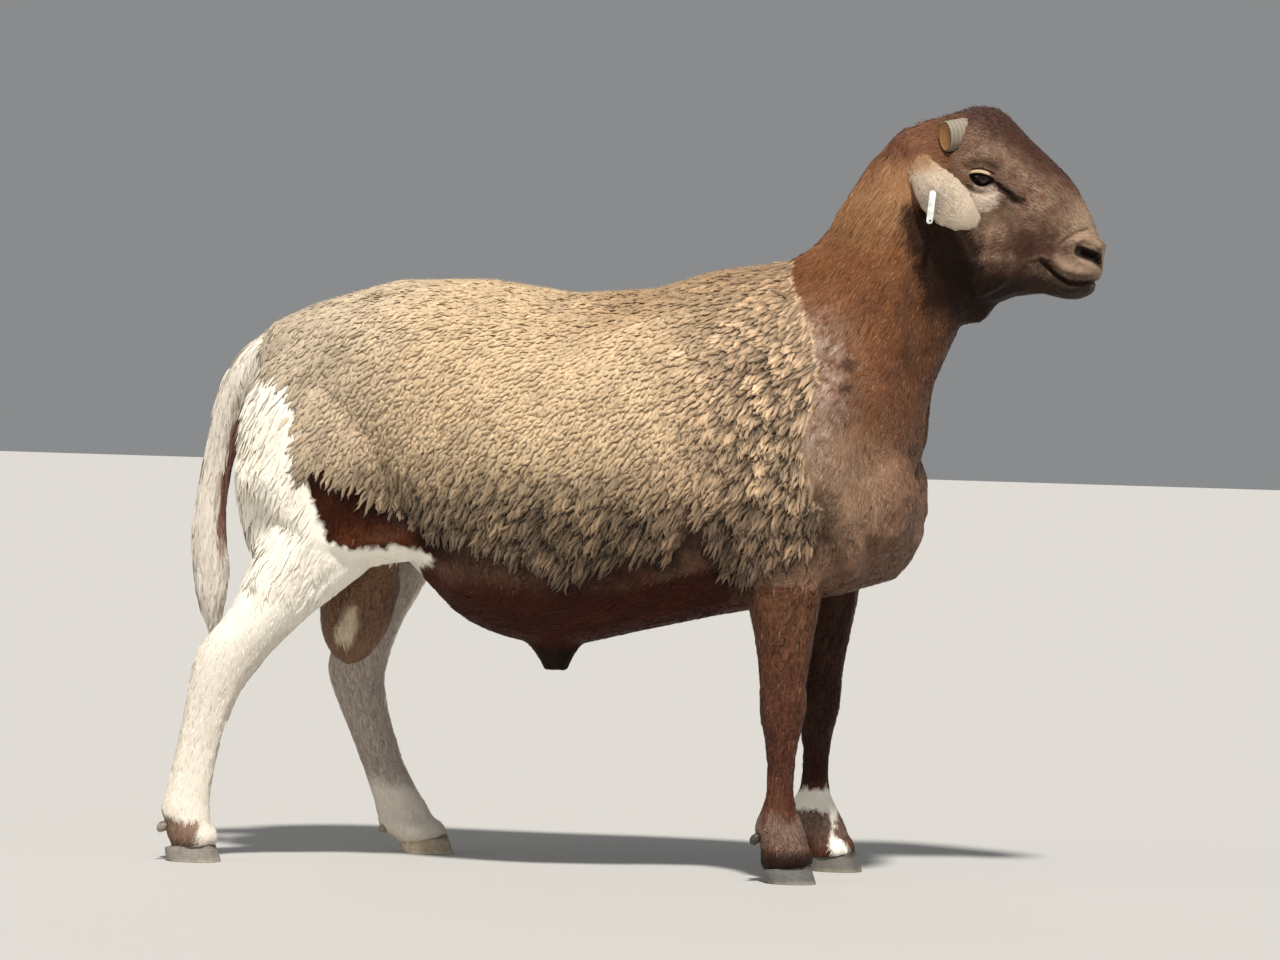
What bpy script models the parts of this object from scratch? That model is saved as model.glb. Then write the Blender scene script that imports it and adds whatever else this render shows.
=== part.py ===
"""A life-size standing ram: short fleece on the body, smooth hair on head, neck and legs, hanging tail.

Metres, +Z up, +X towards the nose, -Y the ram's right side. The origin is on the ground, at the middle
of the box round the whole animal. The flesh is modelled whole, from lofted body masses and muscles that
one voxel remesh joins, and is then parted into its nodes by thin cuts. Ears, eyes, horn stumps, claws
and the ear tag are solids of their own, let into the flesh with a small gap.
"""

import math
from dataclasses import dataclass

import bmesh
import bpy
from mathutils import Matrix, Vector

# Driving dimensions
GAP = 0.0003            # clear space between two nodes that meet
VOXEL = 0.005           # grain of the remesh that joins the masses
SMOOTHING_ROUNDS = 7    # each round softens creases by about half a voxel
KEPT_SHARE = 0.024      # share of the remeshed faces that the decimation keeps
RING_POINTS = 32        # points round each lofted section
RINGS_PER_SECTION = 4   # rings from one named section to the next

FORELEG_Y = 0.100       # the middle of a forefoot, off the middle plane
HINDLEG_Y = 0.125
EYE_CENTRE = Vector((0.4130, 0.0490, 0.8515))
EYE_RADIUS = 0.0145
LID_OPENING = (0.0150, 0.0160, 0.0072)  # half-sizes of the hollow between the lids
LID_LEAN = 14           # the inner corner of the eye lies lower

ROOT_NAME = "ram"

COLOURS = {
    "fleece": (0.42, 0.31, 0.19),
    "brown_hair": (0.14, 0.065, 0.035),
    "white_hair": (0.74, 0.66, 0.54),
    "pale_ear": (0.34, 0.25, 0.17),
    "eye": (0.012, 0.008, 0.006),
    "horn": (0.38, 0.29, 0.19),
    "claw": (0.10, 0.09, 0.07),
    "dewclaw": (0.06, 0.045, 0.035),
    "tag": (0.72, 0.76, 0.72),
}


@dataclass(frozen=True)
class Section:
    """One section of a body mass, given by its ends in the side view and its half-width.

    top and bottom are (x, z) points on the outline. side is the half-width across. widest says where
    along bottom to top the section is broadest, from -1 to 1. square is 2 for an ellipse, more for a
    boxier outline. y is how far the section's middle lies from the middle plane.
    """

    top: tuple
    bottom: tuple
    side: float
    y: float = 0.0
    widest: float = 0.0
    square: float = 2.0


@dataclass(frozen=True)
class Girth:
    """One section of a leg: how far down a bone it is, and its half-depth and half-width.

    ahead moves its middle forwards, square to the bone.
    """

    bone: int
    share: float
    depth: float
    side: float
    ahead: float = 0.0


TRUNK = [
    Section((-0.468, 0.640), (-0.454, 0.500), 0.055, widest=0.1),
    Section((-0.446, 0.661), (-0.436, 0.420), 0.105, widest=0.25),
    Section((-0.376, 0.689), (-0.371, 0.400), 0.145, widest=0.30, square=2.2),
    Section((-0.286, 0.713), (-0.286, 0.372), 0.160, widest=0.20, square=2.3),
    Section((-0.186, 0.716), (-0.201, 0.296), 0.178, widest=0.05, square=2.3),
    Section((-0.086, 0.704), (-0.096, 0.270), 0.192, widest=-0.05, square=2.2),
    Section((0.014, 0.711), (0.009, 0.291), 0.188, widest=0.00, square=2.2),
    Section((0.104, 0.738), (0.099, 0.312), 0.168, widest=0.00, square=2.1),
    Section((0.184, 0.742), (0.194, 0.330), 0.150, widest=-0.05),
    Section((0.249, 0.690), (0.279, 0.351), 0.128, widest=-0.15),
    Section((0.304, 0.600), (0.332, 0.382), 0.098, widest=-0.10),
    Section((0.341, 0.520), (0.350, 0.432), 0.050),
]

NECK = [
    Section((0.114, 0.735), (0.324, 0.430), 0.135, widest=-0.2),
    Section((0.184, 0.753), (0.346, 0.510), 0.118, widest=-0.2),
    Section((0.220, 0.783), (0.356, 0.578), 0.098, widest=-0.1),
    Section((0.246, 0.820), (0.371, 0.632), 0.084),
    Section((0.276, 0.869), (0.388, 0.672), 0.073, widest=0.1),
    Section((0.312, 0.916), (0.412, 0.690), 0.064, widest=0.2),
    Section((0.342, 0.927), (0.434, 0.715), 0.053, widest=0.2),
]

HEAD = [
    Section((0.344, 0.924), (0.382, 0.700), 0.045, widest=0.1),
    Section((0.374, 0.931), (0.399, 0.693), 0.060, widest=0.25, square=2.2),
    Section((0.406, 0.940), (0.416, 0.693), 0.063, widest=0.30, square=2.3),
    Section((0.438, 0.930), (0.432, 0.702), 0.061, widest=0.30, square=2.3),
    Section((0.468, 0.902), (0.449, 0.709), 0.054, widest=0.20, square=2.3),
    Section((0.497, 0.876), (0.468, 0.713), 0.046, widest=0.15, square=2.3),
    Section((0.522, 0.851), (0.488, 0.714), 0.040, widest=0.00, square=2.3),
    Section((0.541, 0.818), (0.506, 0.711), 0.037, widest=-0.10, square=2.3),
    Section((0.554, 0.789), (0.525, 0.710), 0.034, widest=-0.05, square=2.3),
    Section((0.560, 0.766), (0.542, 0.716), 0.028, square=2.2),
    Section((0.561, 0.752), (0.554, 0.731), 0.016),
]

TAIL = [
    Section((-0.472, 0.642), (-0.446, 0.585), 0.040),
    Section((-0.501, 0.617), (-0.468, 0.560), 0.038),
    Section((-0.525, 0.572), (-0.487, 0.540), 0.031),
    Section((-0.536, 0.518), (-0.498, 0.500), 0.025),
    Section((-0.547, 0.458), (-0.508, 0.452), 0.021),
    Section((-0.555, 0.402), (-0.509, 0.400), 0.022),
    Section((-0.552, 0.352), (-0.504, 0.352), 0.021),
    Section((-0.543, 0.305), (-0.508, 0.308), 0.017),
    Section((-0.530, 0.268), (-0.516, 0.272), 0.008),
]

SCROTUM = [
    Section((-0.296, 0.405), (-0.381, 0.405), 0.030),
    Section((-0.290, 0.355), (-0.390, 0.345), 0.038),
    Section((-0.293, 0.318), (-0.391, 0.305), 0.042),
    Section((-0.303, 0.284), (-0.387, 0.276), 0.040),
    Section((-0.319, 0.258), (-0.376, 0.253), 0.030),
    Section((-0.334, 0.243), (-0.361, 0.240), 0.016),
    Section((-0.344, 0.238), (-0.351, 0.237), 0.005),
]

SHEATH = [
    Section((-0.046, 0.300), (-0.156, 0.300), 0.030),
    Section((-0.063, 0.274), (-0.128, 0.268), 0.024),
    Section((-0.072, 0.256), (-0.116, 0.252), 0.019),
    Section((-0.079, 0.240), (-0.110, 0.238), 0.014),
]

# Leg joints, as (x, z) from the top of each leg to the hoof's crown
RIGHT_FORELEG_JOINTS = [(0.209, 0.520), (0.197, 0.400), (0.198, 0.200), (0.197, 0.066), (0.210, 0.012)]
LEFT_FORELEG_JOINTS = [(0.229, 0.520), (0.222, 0.400), (0.218, 0.200), (0.216, 0.073), (0.243, 0.012)]
RIGHT_HINDLEG_JOINTS = [(-0.371, 0.570), (-0.344, 0.410), (-0.488, 0.236), (-0.525, 0.055), (-0.510, 0.010)]
LEFT_HINDLEG_JOINTS = [(-0.356, 0.570), (-0.306, 0.410), (-0.364, 0.225), (-0.301, 0.050), (-0.268, 0.010)]

FORELEG = [
    Girth(0, 0.00, 0.085, 0.045),
    Girth(0, 0.60, 0.074, 0.050),
    Girth(1, 0.05, 0.062, 0.044),
    Girth(1, 0.30, 0.046, 0.036, -0.001),
    Girth(1, 0.55, 0.0365, 0.030),
    Girth(1, 0.78, 0.030, 0.026),
    Girth(1, 0.98, 0.029, 0.0265),
    Girth(2, 0.20, 0.0225, 0.0220),
    Girth(2, 0.48, 0.0182, 0.0170),
    Girth(2, 0.78, 0.0205, 0.0190),
    Girth(3, 0.00, 0.0315, 0.0245),
    Girth(3, 0.45, 0.0290, 0.0250, 0.003),
    Girth(3, 1.00, 0.0295, 0.0275),
]

HINDLEG = [
    Girth(0, 0.00, 0.100, 0.050),
    Girth(0, 0.50, 0.112, 0.060, -0.012),
    Girth(0, 0.95, 0.100, 0.058, -0.030),
    Girth(1, 0.22, 0.067, 0.050, -0.014),
    Girth(1, 0.48, 0.048, 0.040, -0.007),
    Girth(1, 0.75, 0.038, 0.032, -0.002),
    Girth(1, 0.97, 0.0385, 0.0280),
    Girth(2, 0.14, 0.0335, 0.0255, -0.002),
    Girth(2, 0.36, 0.0288, 0.0215, -0.0045),
    Girth(2, 0.62, 0.0272, 0.0195, -0.0045),
    Girth(2, 0.86, 0.0290, 0.0210, -0.0025),
    Girth(3, 0.00, 0.0325, 0.0245),
    Girth(3, 0.50, 0.0245, 0.0250, 0.003),
    Girth(3, 1.00, 0.0280, 0.0275),
]

# Muscles on both sides: middle (x, y, z), radii (along, across, up) and lean of the long axis in degrees
PAIRED_MUSCLES = {
    "shoulder": ((0.229, 0.100, 0.500), (0.070, 0.058, 0.150), -12),
    "point_of_shoulder": ((0.284, 0.068, 0.462), (0.068, 0.056, 0.086), 0),
    "arm": ((0.199, 0.105, 0.405), (0.068, 0.045, 0.062), 0),
    "haunch": ((-0.376, 0.090, 0.520), (0.100, 0.066, 0.130), 10),
    "buttock": ((-0.431, 0.070, 0.475), (0.052, 0.058, 0.120), 0),
    "flank_fold": ((-0.281, 0.100, 0.405), (0.075, 0.040, 0.040), -12),
    "cheek": ((0.422, 0.040, 0.765), (0.046, 0.020, 0.058), 28),
    "brow": ((0.418, 0.050, 0.874), (0.030, 0.017, 0.015), -18),
    "cheekbone": ((0.441, 0.044, 0.828), (0.040, 0.016, 0.016), -40),
    "nostril_wing": ((0.544, 0.021, 0.768), (0.017, 0.014, 0.018), 30),
    "upper_lip": ((0.531, 0.021, 0.746), (0.030, 0.017, 0.014), -22),
}
MIDDLE_MUSCLES = {
    "brisket": ((0.284, 0.0, 0.440), (0.070, 0.084, 0.084), 0),
    "crown": ((0.406, 0.0, 0.905), (0.044, 0.050, 0.036), -10),
    "chin": ((0.526, 0.0, 0.722), (0.026, 0.024, 0.013), -10),
    "dewlap": ((0.398, 0.0, 0.706), (0.034, 0.020, 0.028), 20),
}

# Each thin cut is a box whose wall is one GAP thick: middle, half-sizes and lean about Y in degrees
CUTS = {
    "neck": ((0.473, 0.0, 0.785), (0.250, 0.200, 0.250), -35),
    "head": ((0.570, 0.0, 0.811), (0.200, 0.160, 0.220), -5),
    "tail": ((-0.566, 0.0, 0.440), (0.083, 0.046, 0.240), 6),
    "scrotum": ((-0.341, 0.0, 0.270), (0.075, 0.0485, 0.095), 0),
    "sheath": ((-0.096, 0.0, 0.215), (0.060, 0.050, 0.052), 0),
    "right_foreleg": ((0.219, -0.165, 0.100), (0.092, 0.108, 0.256), 0),
    "left_foreleg": ((0.239, 0.165, 0.100), (0.092, 0.108, 0.256), 0),
    "right_hindleg": ((-0.446, -0.200, 0.170), (0.192, 0.150, 0.270), 0),
    "left_hindleg": ((-0.431, 0.200, 0.170), (0.207, 0.150, 0.270), 0),
}

# A point inside each flesh node, which tells the parted pieces from each other
FLESH_NODES = {
    "trunk": ((-0.056, 0.0, 0.500), "fleece"),
    "neck": ((0.294, 0.0, 0.680), "brown_hair"),
    "head": ((0.454, 0.0, 0.810), "brown_hair"),
    "tail": ((-0.531, 0.0, 0.440), "white_hair"),
    "scrotum": ((-0.341, 0.0, 0.300), "brown_hair"),
    "sheath": ((-0.096, 0.0, 0.250), "brown_hair"),
    "right_foreleg": ((0.198, -0.100, 0.200), "brown_hair"),
    "left_foreleg": ((0.224, 0.100, 0.200), "brown_hair"),
    "right_hindleg": ((-0.446, -0.125, 0.280), "white_hair"),
    "left_hindleg": ((-0.336, 0.125, 0.280), "white_hair"),
}

# Feet: middle of the sole (x, y), half-length of the sole and how far the toes turn in, in degrees
FEET = {
    "right_fore": ((0.217, -FORELEG_Y), 0.0270, 4),
    "left_fore": ((0.250, FORELEG_Y), 0.0280, 14),
    "right_hind": ((-0.508, -HINDLEG_Y), 0.0280, -6),
    "left_hind": ((-0.265, HINDLEG_Y), 0.0280, 4),
}
CLAW_WIDTH = 0.0262
CLAW_CLEFT = 0.0030        # open space between the two claws of a foot
CROWN_HEEL = 0.0175        # height of the hoof's crown at heel and toe
CROWN_TOE = 0.0255
CROWN_SETBACK = 0.0090     # the walls lean back by this much at the crown
FETLOCKS = {
    "right_fore": (0.1700, 0.052, -FORELEG_Y),
    "left_fore": (0.1900, 0.057, FORELEG_Y),
    "right_hind": (-0.5500, 0.041, -HINDLEG_Y),
    "left_hind": (-0.3230, 0.030, HINDLEG_Y),
}
DEWCLAW_RADIUS = 0.0062
DEWCLAW_LENGTH = 0.0160
DEWCLAW_SPREAD = 0.0130

EAR_LINE = [(0.343, 0.040, 0.868), (0.341, 0.062, 0.864), (0.349, 0.080, 0.850), (0.365, 0.090, 0.832),
            (0.383, 0.094, 0.816), (0.400, 0.095, 0.804), (0.416, 0.093, 0.796)]
EAR_HALF_WIDTH = [0.0120, 0.0160, 0.0240, 0.0300, 0.0290, 0.0220, 0.0080]
EAR_HALF_THICK = [0.0100, 0.0090, 0.0060, 0.0042, 0.0034, 0.0028, 0.0020]
EAR_ACROSS = Vector((0.64, 0.0, 0.77))  # the way the blade of the ear spreads
EAR_CUP = 0.006            # how far the ear's edges curl in towards the cheek

HORN_BASE = Vector((0.3870, 0.0400, 0.9030))
HORN_AXIS = Vector((-0.74, 0.62, -0.10))
HORN_LENGTH = 0.026
HORN_RADII = (0.0155, 0.0215)  # across and up, at the base
HORN_TAPER = 0.86

TAG_TOP = Vector((0.3595, -0.0966, 0.8300))
TAG_SIZE = (0.0078, 0.0014, 0.0400)
TAG_TILT = 5
TAG_PIN = (0.0022, 0.0060)  # radius and length of the pin that goes into the ear


def blend(before, start, end, after, share):
    """A value on the smooth curve from start to end, through its neighbours before and after."""
    rise_in, rise_out = (end - before) / 2, (after - start) / 2
    s2, s3 = share * share, share ** 3
    return ((2 * s3 - 3 * s2 + 1) * start + (s3 - 2 * s2 + share) * rise_in
            + (3 * s2 - 2 * s3) * end + (s3 - s2) * rise_out)


def along(values, steps):
    """Values spaced evenly along the smooth curve through a list of vectors."""
    padded = [2 * values[0] - values[1], *values, 2 * values[-1] - values[-2]]
    found = []
    for i in range(len(values) - 1):
        found += [blend(*padded[i:i + 4], step / steps) for step in range(steps)]
    return found + [values[-1]]


def signed_power(value, power):
    return math.copysign(abs(value) ** power, value)


def lofted(rings):
    """A bmesh skinned over rings of points, with both ends closed by a fan."""
    mesh = bmesh.new()
    loops = [[mesh.verts.new(point) for point in ring] for ring in rings]
    count = len(rings[0])
    for low, high in zip(loops, loops[1:]):
        for i in range(count):
            j = (i + 1) % count
            mesh.faces.new((low[i], low[j], high[j]))
            mesh.faces.new((low[i], high[j], high[i]))
    for loop in (loops[0], loops[-1]):
        hub = mesh.verts.new(sum((vertex.co for vertex in loop), Vector()) / count)
        for i in range(count):
            mesh.faces.new((loop[i], loop[(i + 1) % count], hub))
    bmesh.ops.recalc_face_normals(mesh, faces=mesh.faces)
    return mesh


def section_values(section):
    """A section as one vector of numbers, so that sections can be blended."""
    return Vector((*section.top, *section.bottom, section.side, section.y, section.widest, section.square))


def section_ring(values, mirror):
    """The points round one blended section."""
    top = Vector((values[0], 0, values[1]))
    bottom = Vector((values[2], 0, values[3]))
    side, y, widest, square = values[4:8]
    middle, half = (top + bottom) / 2, (top - bottom) / 2
    points = []
    for i in range(RING_POINTS):
        angle = 2 * math.pi * i / RING_POINTS
        up = signed_power(math.cos(angle), 2 / square)
        out = signed_power(math.sin(angle), 2 / square)
        up += widest * (1 - up * up) * (1 if abs(up) < 1 else 0)
        point = middle + up * half
        points.append(Vector((point.x, mirror * (y + out * side), point.z)))
    return points


def mass_from_sections(sections, mirror=1):
    stations = along([section_values(section) for section in sections], RINGS_PER_SECTION)
    return lofted([section_ring(values, mirror) for values in stations])


def leg_sections(joints, girths, y_top, y_foot):
    """The sections of a leg, square to its bones, from its joints and its table of girths."""
    joints = [Vector((x, 0, z)) for x, z in joints]
    sections = []
    for girth in girths:
        start, end = joints[girth.bone], joints[girth.bone + 1]
        line = (end - start).normalized()
        if 0 < girth.bone and girth.share < 0.1:
            line = (end - joints[girth.bone - 1]).normalized()
        if girth.bone < len(joints) - 2 and girth.share > 0.9:
            line = (joints[girth.bone + 2] - start).normalized()
        if girth.bone == len(joints) - 2 and girth.share > 0.9:
            line = Vector((0, 0, -1))
        forward = Vector((-line.z, 0, line.x))
        middle = start.lerp(end, girth.share) + forward * girth.ahead
        front, back = middle + forward * girth.depth, middle - forward * girth.depth
        down = min(1.0, max(0.0, (joints[1].z - middle.z) / joints[1].z))
        y = y_top + (y_foot - y_top) * down
        sections.append(Section((front.x, front.z), (back.x, back.z), girth.side, y=y))
    return sections


def muscle(middle, radii, lean, mirror=1):
    """An ellipsoid turned about Y, nose down for a positive lean."""
    mesh = bmesh.new()
    place = Matrix.Translation((middle[0], mirror * middle[1], middle[2]))
    turn = Matrix.Rotation(math.radians(lean), 4, "Y")
    size = Matrix.Diagonal((*radii, 1.0))
    bmesh.ops.create_uvsphere(mesh, u_segments=28, v_segments=18, radius=1.0, matrix=place @ turn @ size)
    return mesh


def material(name):
    made = bpy.data.materials.get(name)
    if made is None:
        made = bpy.data.materials.new(name)
        made.use_nodes = True
        shader = made.node_tree.nodes["Principled BSDF"]
        shader.inputs["Base Color"].default_value = (*COLOURS[name], 1.0)
        shader.inputs["Roughness"].default_value = 0.3 if name in ("eye", "tag") else 0.75
    return made


def add_object(name, mesh, place=None):
    """Turns a bmesh, modelled where it belongs, into an object that is placed by its own frame."""
    place = place or Matrix.Identity(4)
    bmesh.ops.transform(mesh, verts=mesh.verts, matrix=place.inverted())
    data = bpy.data.meshes.new(name)
    mesh.to_mesh(data)
    mesh.free()
    made = bpy.data.objects.new(name, data)
    bpy.context.scene.collection.objects.link(made)
    made.location = place.to_translation()
    made.rotation_euler = place.to_euler()
    bpy.context.view_layer.update()
    return made


def add_node(name, mesh, finish, place=None, smooth=True):
    """Adds one solid of the ram: an object with its own finish, held by the ram's empty."""
    made = add_object(name, mesh, place)
    made.data.materials.append(material(finish))
    if smooth:
        made.data.shade_smooth()
    made.parent = bpy.data.objects[ROOT_NAME]
    return made


def add_cutter(name, mesh):
    made = add_object("cut_" + name, mesh)
    made.hide_render = True
    made.display_type = "WIRE"
    return made


def merged(meshes):
    """One bmesh that holds all of these shells."""
    whole = bmesh.new()
    for mesh in meshes:
        carrier = bpy.data.meshes.new("carrier")
        mesh.to_mesh(carrier)
        mesh.free()
        whole.from_mesh(carrier)
        bpy.data.meshes.remove(carrier)
    return whole


def body_masses():
    """Every lofted mass and muscle of the flesh, still overlapping."""
    right_fore = leg_sections(RIGHT_FORELEG_JOINTS, FORELEG, 0.108, FORELEG_Y)
    left_fore = leg_sections(LEFT_FORELEG_JOINTS, FORELEG, 0.108, FORELEG_Y)
    right_hind = leg_sections(RIGHT_HINDLEG_JOINTS, HINDLEG, 0.098, HINDLEG_Y)
    left_hind = leg_sections(LEFT_HINDLEG_JOINTS, HINDLEG, 0.098, HINDLEG_Y)
    masses = [mass_from_sections(sections) for sections in (TRUNK, NECK, HEAD, TAIL, SCROTUM, SHEATH)]
    masses += [mass_from_sections(right_fore, -1), mass_from_sections(left_fore)]
    masses += [mass_from_sections(right_hind, -1), mass_from_sections(left_hind)]
    for middle, radii, lean in PAIRED_MUSCLES.values():
        masses += [muscle(middle, radii, lean, mirror) for mirror in (-1, 1)]
    masses += [muscle(*shape) for shape in MIDDLE_MUSCLES.values()]
    return masses


def evaluated_mesh(made):
    """The object's mesh with its modifiers applied."""
    graph = bpy.context.evaluated_depsgraph_get()
    return bpy.data.meshes.new_from_object(made.evaluated_get(graph))


def joined_flesh():
    """The flesh as one closed, softened and thinned-out surface."""
    rough = add_object("rough_flesh", merged(body_masses()))
    remesh = rough.modifiers.new("join", "REMESH")
    remesh.mode = "VOXEL"
    remesh.voxel_size = VOXEL
    soften = rough.modifiers.new("soften", "SMOOTH")
    soften.factor = 0.5
    soften.iterations = SMOOTHING_ROUNDS
    dense = evaluated_mesh(rough)
    bpy.data.objects.remove(rough)
    whole = bpy.data.objects.new("flesh", dense)
    bpy.context.scene.collection.objects.link(whole)
    keep_detail(whole)
    thin = whole.modifiers.new("thin", "DECIMATE")
    thin.ratio = KEPT_SHARE
    thin.vertex_group = "coarse"
    thin.vertex_group_factor = 1.0
    whole.data = evaluated_mesh(whole)
    whole.modifiers.clear()
    return whole


def keep_detail(whole):
    """Marks where the decimation may take most: the broad trunk, and not the head, legs and tail."""
    group = whole.vertex_groups.new(name="coarse")
    head_start, throat, leg_top, tail_end = 0.354, 0.66, 0.30, -0.476
    for vertex in whole.data.vertices:
        x, _, z = vertex.co
        weight = 1.0
        if z < leg_top or x < tail_end:
            weight = 0.70
        if x > head_start and z > throat:
            weight = 0.80
        group.add([vertex.index], weight, "REPLACE")


def box(middle, half, lean, grow=0.0):
    mesh = bmesh.new()
    turn = Matrix.Rotation(math.radians(lean), 4, "Y")
    size = Matrix.Diagonal([2 * (side + grow) for side in half] + [1.0])
    bmesh.ops.create_cube(mesh, size=1.0, matrix=Matrix.Translation(middle) @ turn @ size)
    return mesh


def thin_cut(name, middle, half, lean):
    """A cutter that is the thin wall of a box."""
    inner = box(middle, half, lean)
    bmesh.ops.reverse_faces(inner, faces=inner.faces)
    return add_cutter(name, merged([inner, box(middle, half, lean, GAP)]))


def subtract(made, cutters):
    """Cuts each cutter out of the object, in turn, and leaves the cutters to be removed later."""
    for cutter in cutters:
        cut = made.modifiers.new("cut", "BOOLEAN")
        cut.operation = "DIFFERENCE"
        cut.object = cutter
    made.data = evaluated_mesh(made)
    made.modifiers.clear()


def foot_frame(name):
    (x, y), half_length, turn_in = FEET[name]
    turn = math.radians(turn_in) * (1 if y < 0 else -1)
    return Matrix.Translation((x, y, 0)) @ Matrix.Rotation(turn, 4, "Z"), half_length


def crown_height(x, half_length):
    """Height of the hoof's crown above a point of the sole, x ahead of the foot's middle."""
    return CROWN_HEEL + (CROWN_TOE - CROWN_HEEL) * (x + half_length) / (2 * half_length)


def crown_cutter(name):
    """Everything below the crown of a foot, where the claws take over from the flesh."""
    frame, half_length = foot_frame(name)
    slope = math.atan2(CROWN_TOE - CROWN_HEEL, 2 * half_length)
    reach, depth = 0.055, 0.040
    lift = (CROWN_HEEL + CROWN_TOE) / 2 + GAP
    place = frame @ Matrix.Translation((0, 0, lift)) @ Matrix.Rotation(-slope, 4, "Y")
    mesh = bmesh.new()
    size = Matrix.Diagonal((2 * reach, 2 * reach, depth, 1.0))
    bmesh.ops.create_cube(mesh, size=1.0, matrix=place @ Matrix.Translation((0, 0, -depth / 2)) @ size)
    return add_cutter("crown_" + name, mesh)


def claw_outline(half_length, width, steps=9):
    """Half an oval, blunt at the heel and pointed at the toe, its straight side along the cleft."""
    points = [Vector((-half_length * 0.96, 0, 0))]
    for i in range(steps + 1):
        angle = math.pi * (1 - i / steps)
        x = half_length * math.cos(angle)
        bulge = math.sin(angle) ** 0.62 * (1 - 0.20 * x / half_length)
        points.append(Vector((x, width * (0.04 + 0.94 * bulge), 0)))
    points.append(Vector((half_length, 0, 0)))
    return points


def claw(frame, half_length, side):
    """One claw of a foot. side is 1 for the claw on +Y and -1 for the other."""
    rings, levels = [], 3
    for level in range(levels + 1):
        share = level / levels
        ring = []
        for start in claw_outline(half_length, CLAW_WIDTH):
            narrowed = start.y * (1 - 0.10 * share * share)
            height = crown_height(start.x - CROWN_SETBACK, half_length) * share
            ring.append(Vector((start.x - CROWN_SETBACK * share, narrowed, height)))
        rings.append(ring)
    mesh = lofted(rings)
    bmesh.ops.translate(mesh, verts=mesh.verts, vec=(0, CLAW_CLEFT / 2, 0))
    bmesh.ops.scale(mesh, verts=mesh.verts, vec=(1, side, 1))
    bmesh.ops.recalc_face_normals(mesh, faces=mesh.faces)
    bmesh.ops.transform(mesh, verts=mesh.verts, matrix=frame)
    return mesh


def dewclaw_frame(name, side):
    x, z, y = FETLOCKS[name]
    return Matrix.Translation((x, y + side * DEWCLAW_SPREAD, z)) @ Matrix.Rotation(math.radians(215), 4, "Y")


def dewclaw(frame, grow=0.0):
    """A small blunt nub behind the fetlock, pointing down and back."""
    mesh = bmesh.new()
    size = Matrix.Diagonal((DEWCLAW_RADIUS + grow, DEWCLAW_RADIUS * 0.85 + grow, DEWCLAW_LENGTH / 2 + grow, 1))
    bmesh.ops.create_uvsphere(mesh, u_segments=8, v_segments=5, radius=1.0, matrix=frame @ size)
    return mesh


def ear(mirror, grow=0.0):
    """A drooping leaf-shaped ear, lofted along its own line and cupped towards the cheek."""
    steps, points_round = 2, 12
    line = along([Vector(point) for point in EAR_LINE], steps)
    sizes = along([Vector((w, t)) for w, t in zip(EAR_HALF_WIDTH, EAR_HALF_THICK)], steps)
    rings = []
    for i, (middle, (width, thick)) in enumerate(zip(line, sizes)):
        heading = (line[min(i + 1, len(line) - 1)] - line[max(i - 1, 0)]).normalized()
        across = (EAR_ACROSS - heading * EAR_ACROSS.dot(heading)).normalized()
        out = across.cross(heading)
        end = -1 if i == 0 else (1 if i == len(line) - 1 else 0)
        blade = min(1.0, max(0.0, (width - 0.016) / 0.010))
        ring = []
        for k in range(points_round):
            angle = 2 * math.pi * k / points_round
            wide = math.cos(angle)
            lift = math.sin(angle) * (thick + grow) - EAR_CUP * blade * wide * wide
            ring.append(middle + heading * grow * end + across * wide * (width + grow) + out * lift)
        rings.append(ring)
    mesh = lofted(rings)
    bmesh.ops.scale(mesh, verts=mesh.verts, vec=(1, mirror, 1))
    bmesh.ops.recalc_face_normals(mesh, faces=mesh.faces)
    return mesh


def horn(mirror, grow=0.0):
    """The stump of a sawn-off horn, oval across, with a flat cut end."""
    mesh = bmesh.new()
    across, up = HORN_RADII
    bmesh.ops.create_cone(mesh, cap_ends=True, segments=18, radius1=1.0, radius2=HORN_TAPER,
                          depth=HORN_LENGTH + 2 * grow)
    turn = HORN_AXIS.to_track_quat("Z", "Y").to_matrix().to_4x4()
    place = Matrix.Translation(HORN_BASE + HORN_AXIS.normalized() * HORN_LENGTH / 2)
    bmesh.ops.transform(mesh, verts=mesh.verts,
                        matrix=place @ turn @ Matrix.Diagonal((across + grow, up + grow, 1.0, 1.0)))
    bmesh.ops.scale(mesh, verts=mesh.verts, vec=(1, mirror, 1))
    bmesh.ops.recalc_face_normals(mesh, faces=mesh.faces)
    return mesh


def eye(mirror, grow=0.0):
    mesh = bmesh.new()
    place = Matrix.Translation((EYE_CENTRE.x, mirror * EYE_CENTRE.y, EYE_CENTRE.z))
    bmesh.ops.create_icosphere(mesh, subdivisions=2, radius=EYE_RADIUS + grow, matrix=place)
    return mesh


def lids(mirror):
    """The hollow between the lids, which bares the front of the eye."""
    middle = EYE_CENTRE + Vector((0.0005, EYE_RADIUS, -0.0005))
    return muscle(middle, LID_OPENING, LID_LEAN, mirror)


def tag_pin(grow=0.0):
    """The pin that holds the tag, from the strip into the right ear."""
    radius, length = TAG_PIN
    mesh = bmesh.new()
    place = Matrix.Translation(TAG_TOP + Vector((0, length / 2, 0))) @ Matrix.Rotation(math.pi / 2, 4, "X")
    bmesh.ops.create_cone(mesh, cap_ends=True, segments=12, radius1=radius + grow, radius2=radius + grow,
                          depth=length + 2 * grow, matrix=place)
    return mesh


def tag_frame():
    return Matrix.Translation(TAG_TOP) @ Matrix.Rotation(math.radians(TAG_TILT), 4, "Y")


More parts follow.
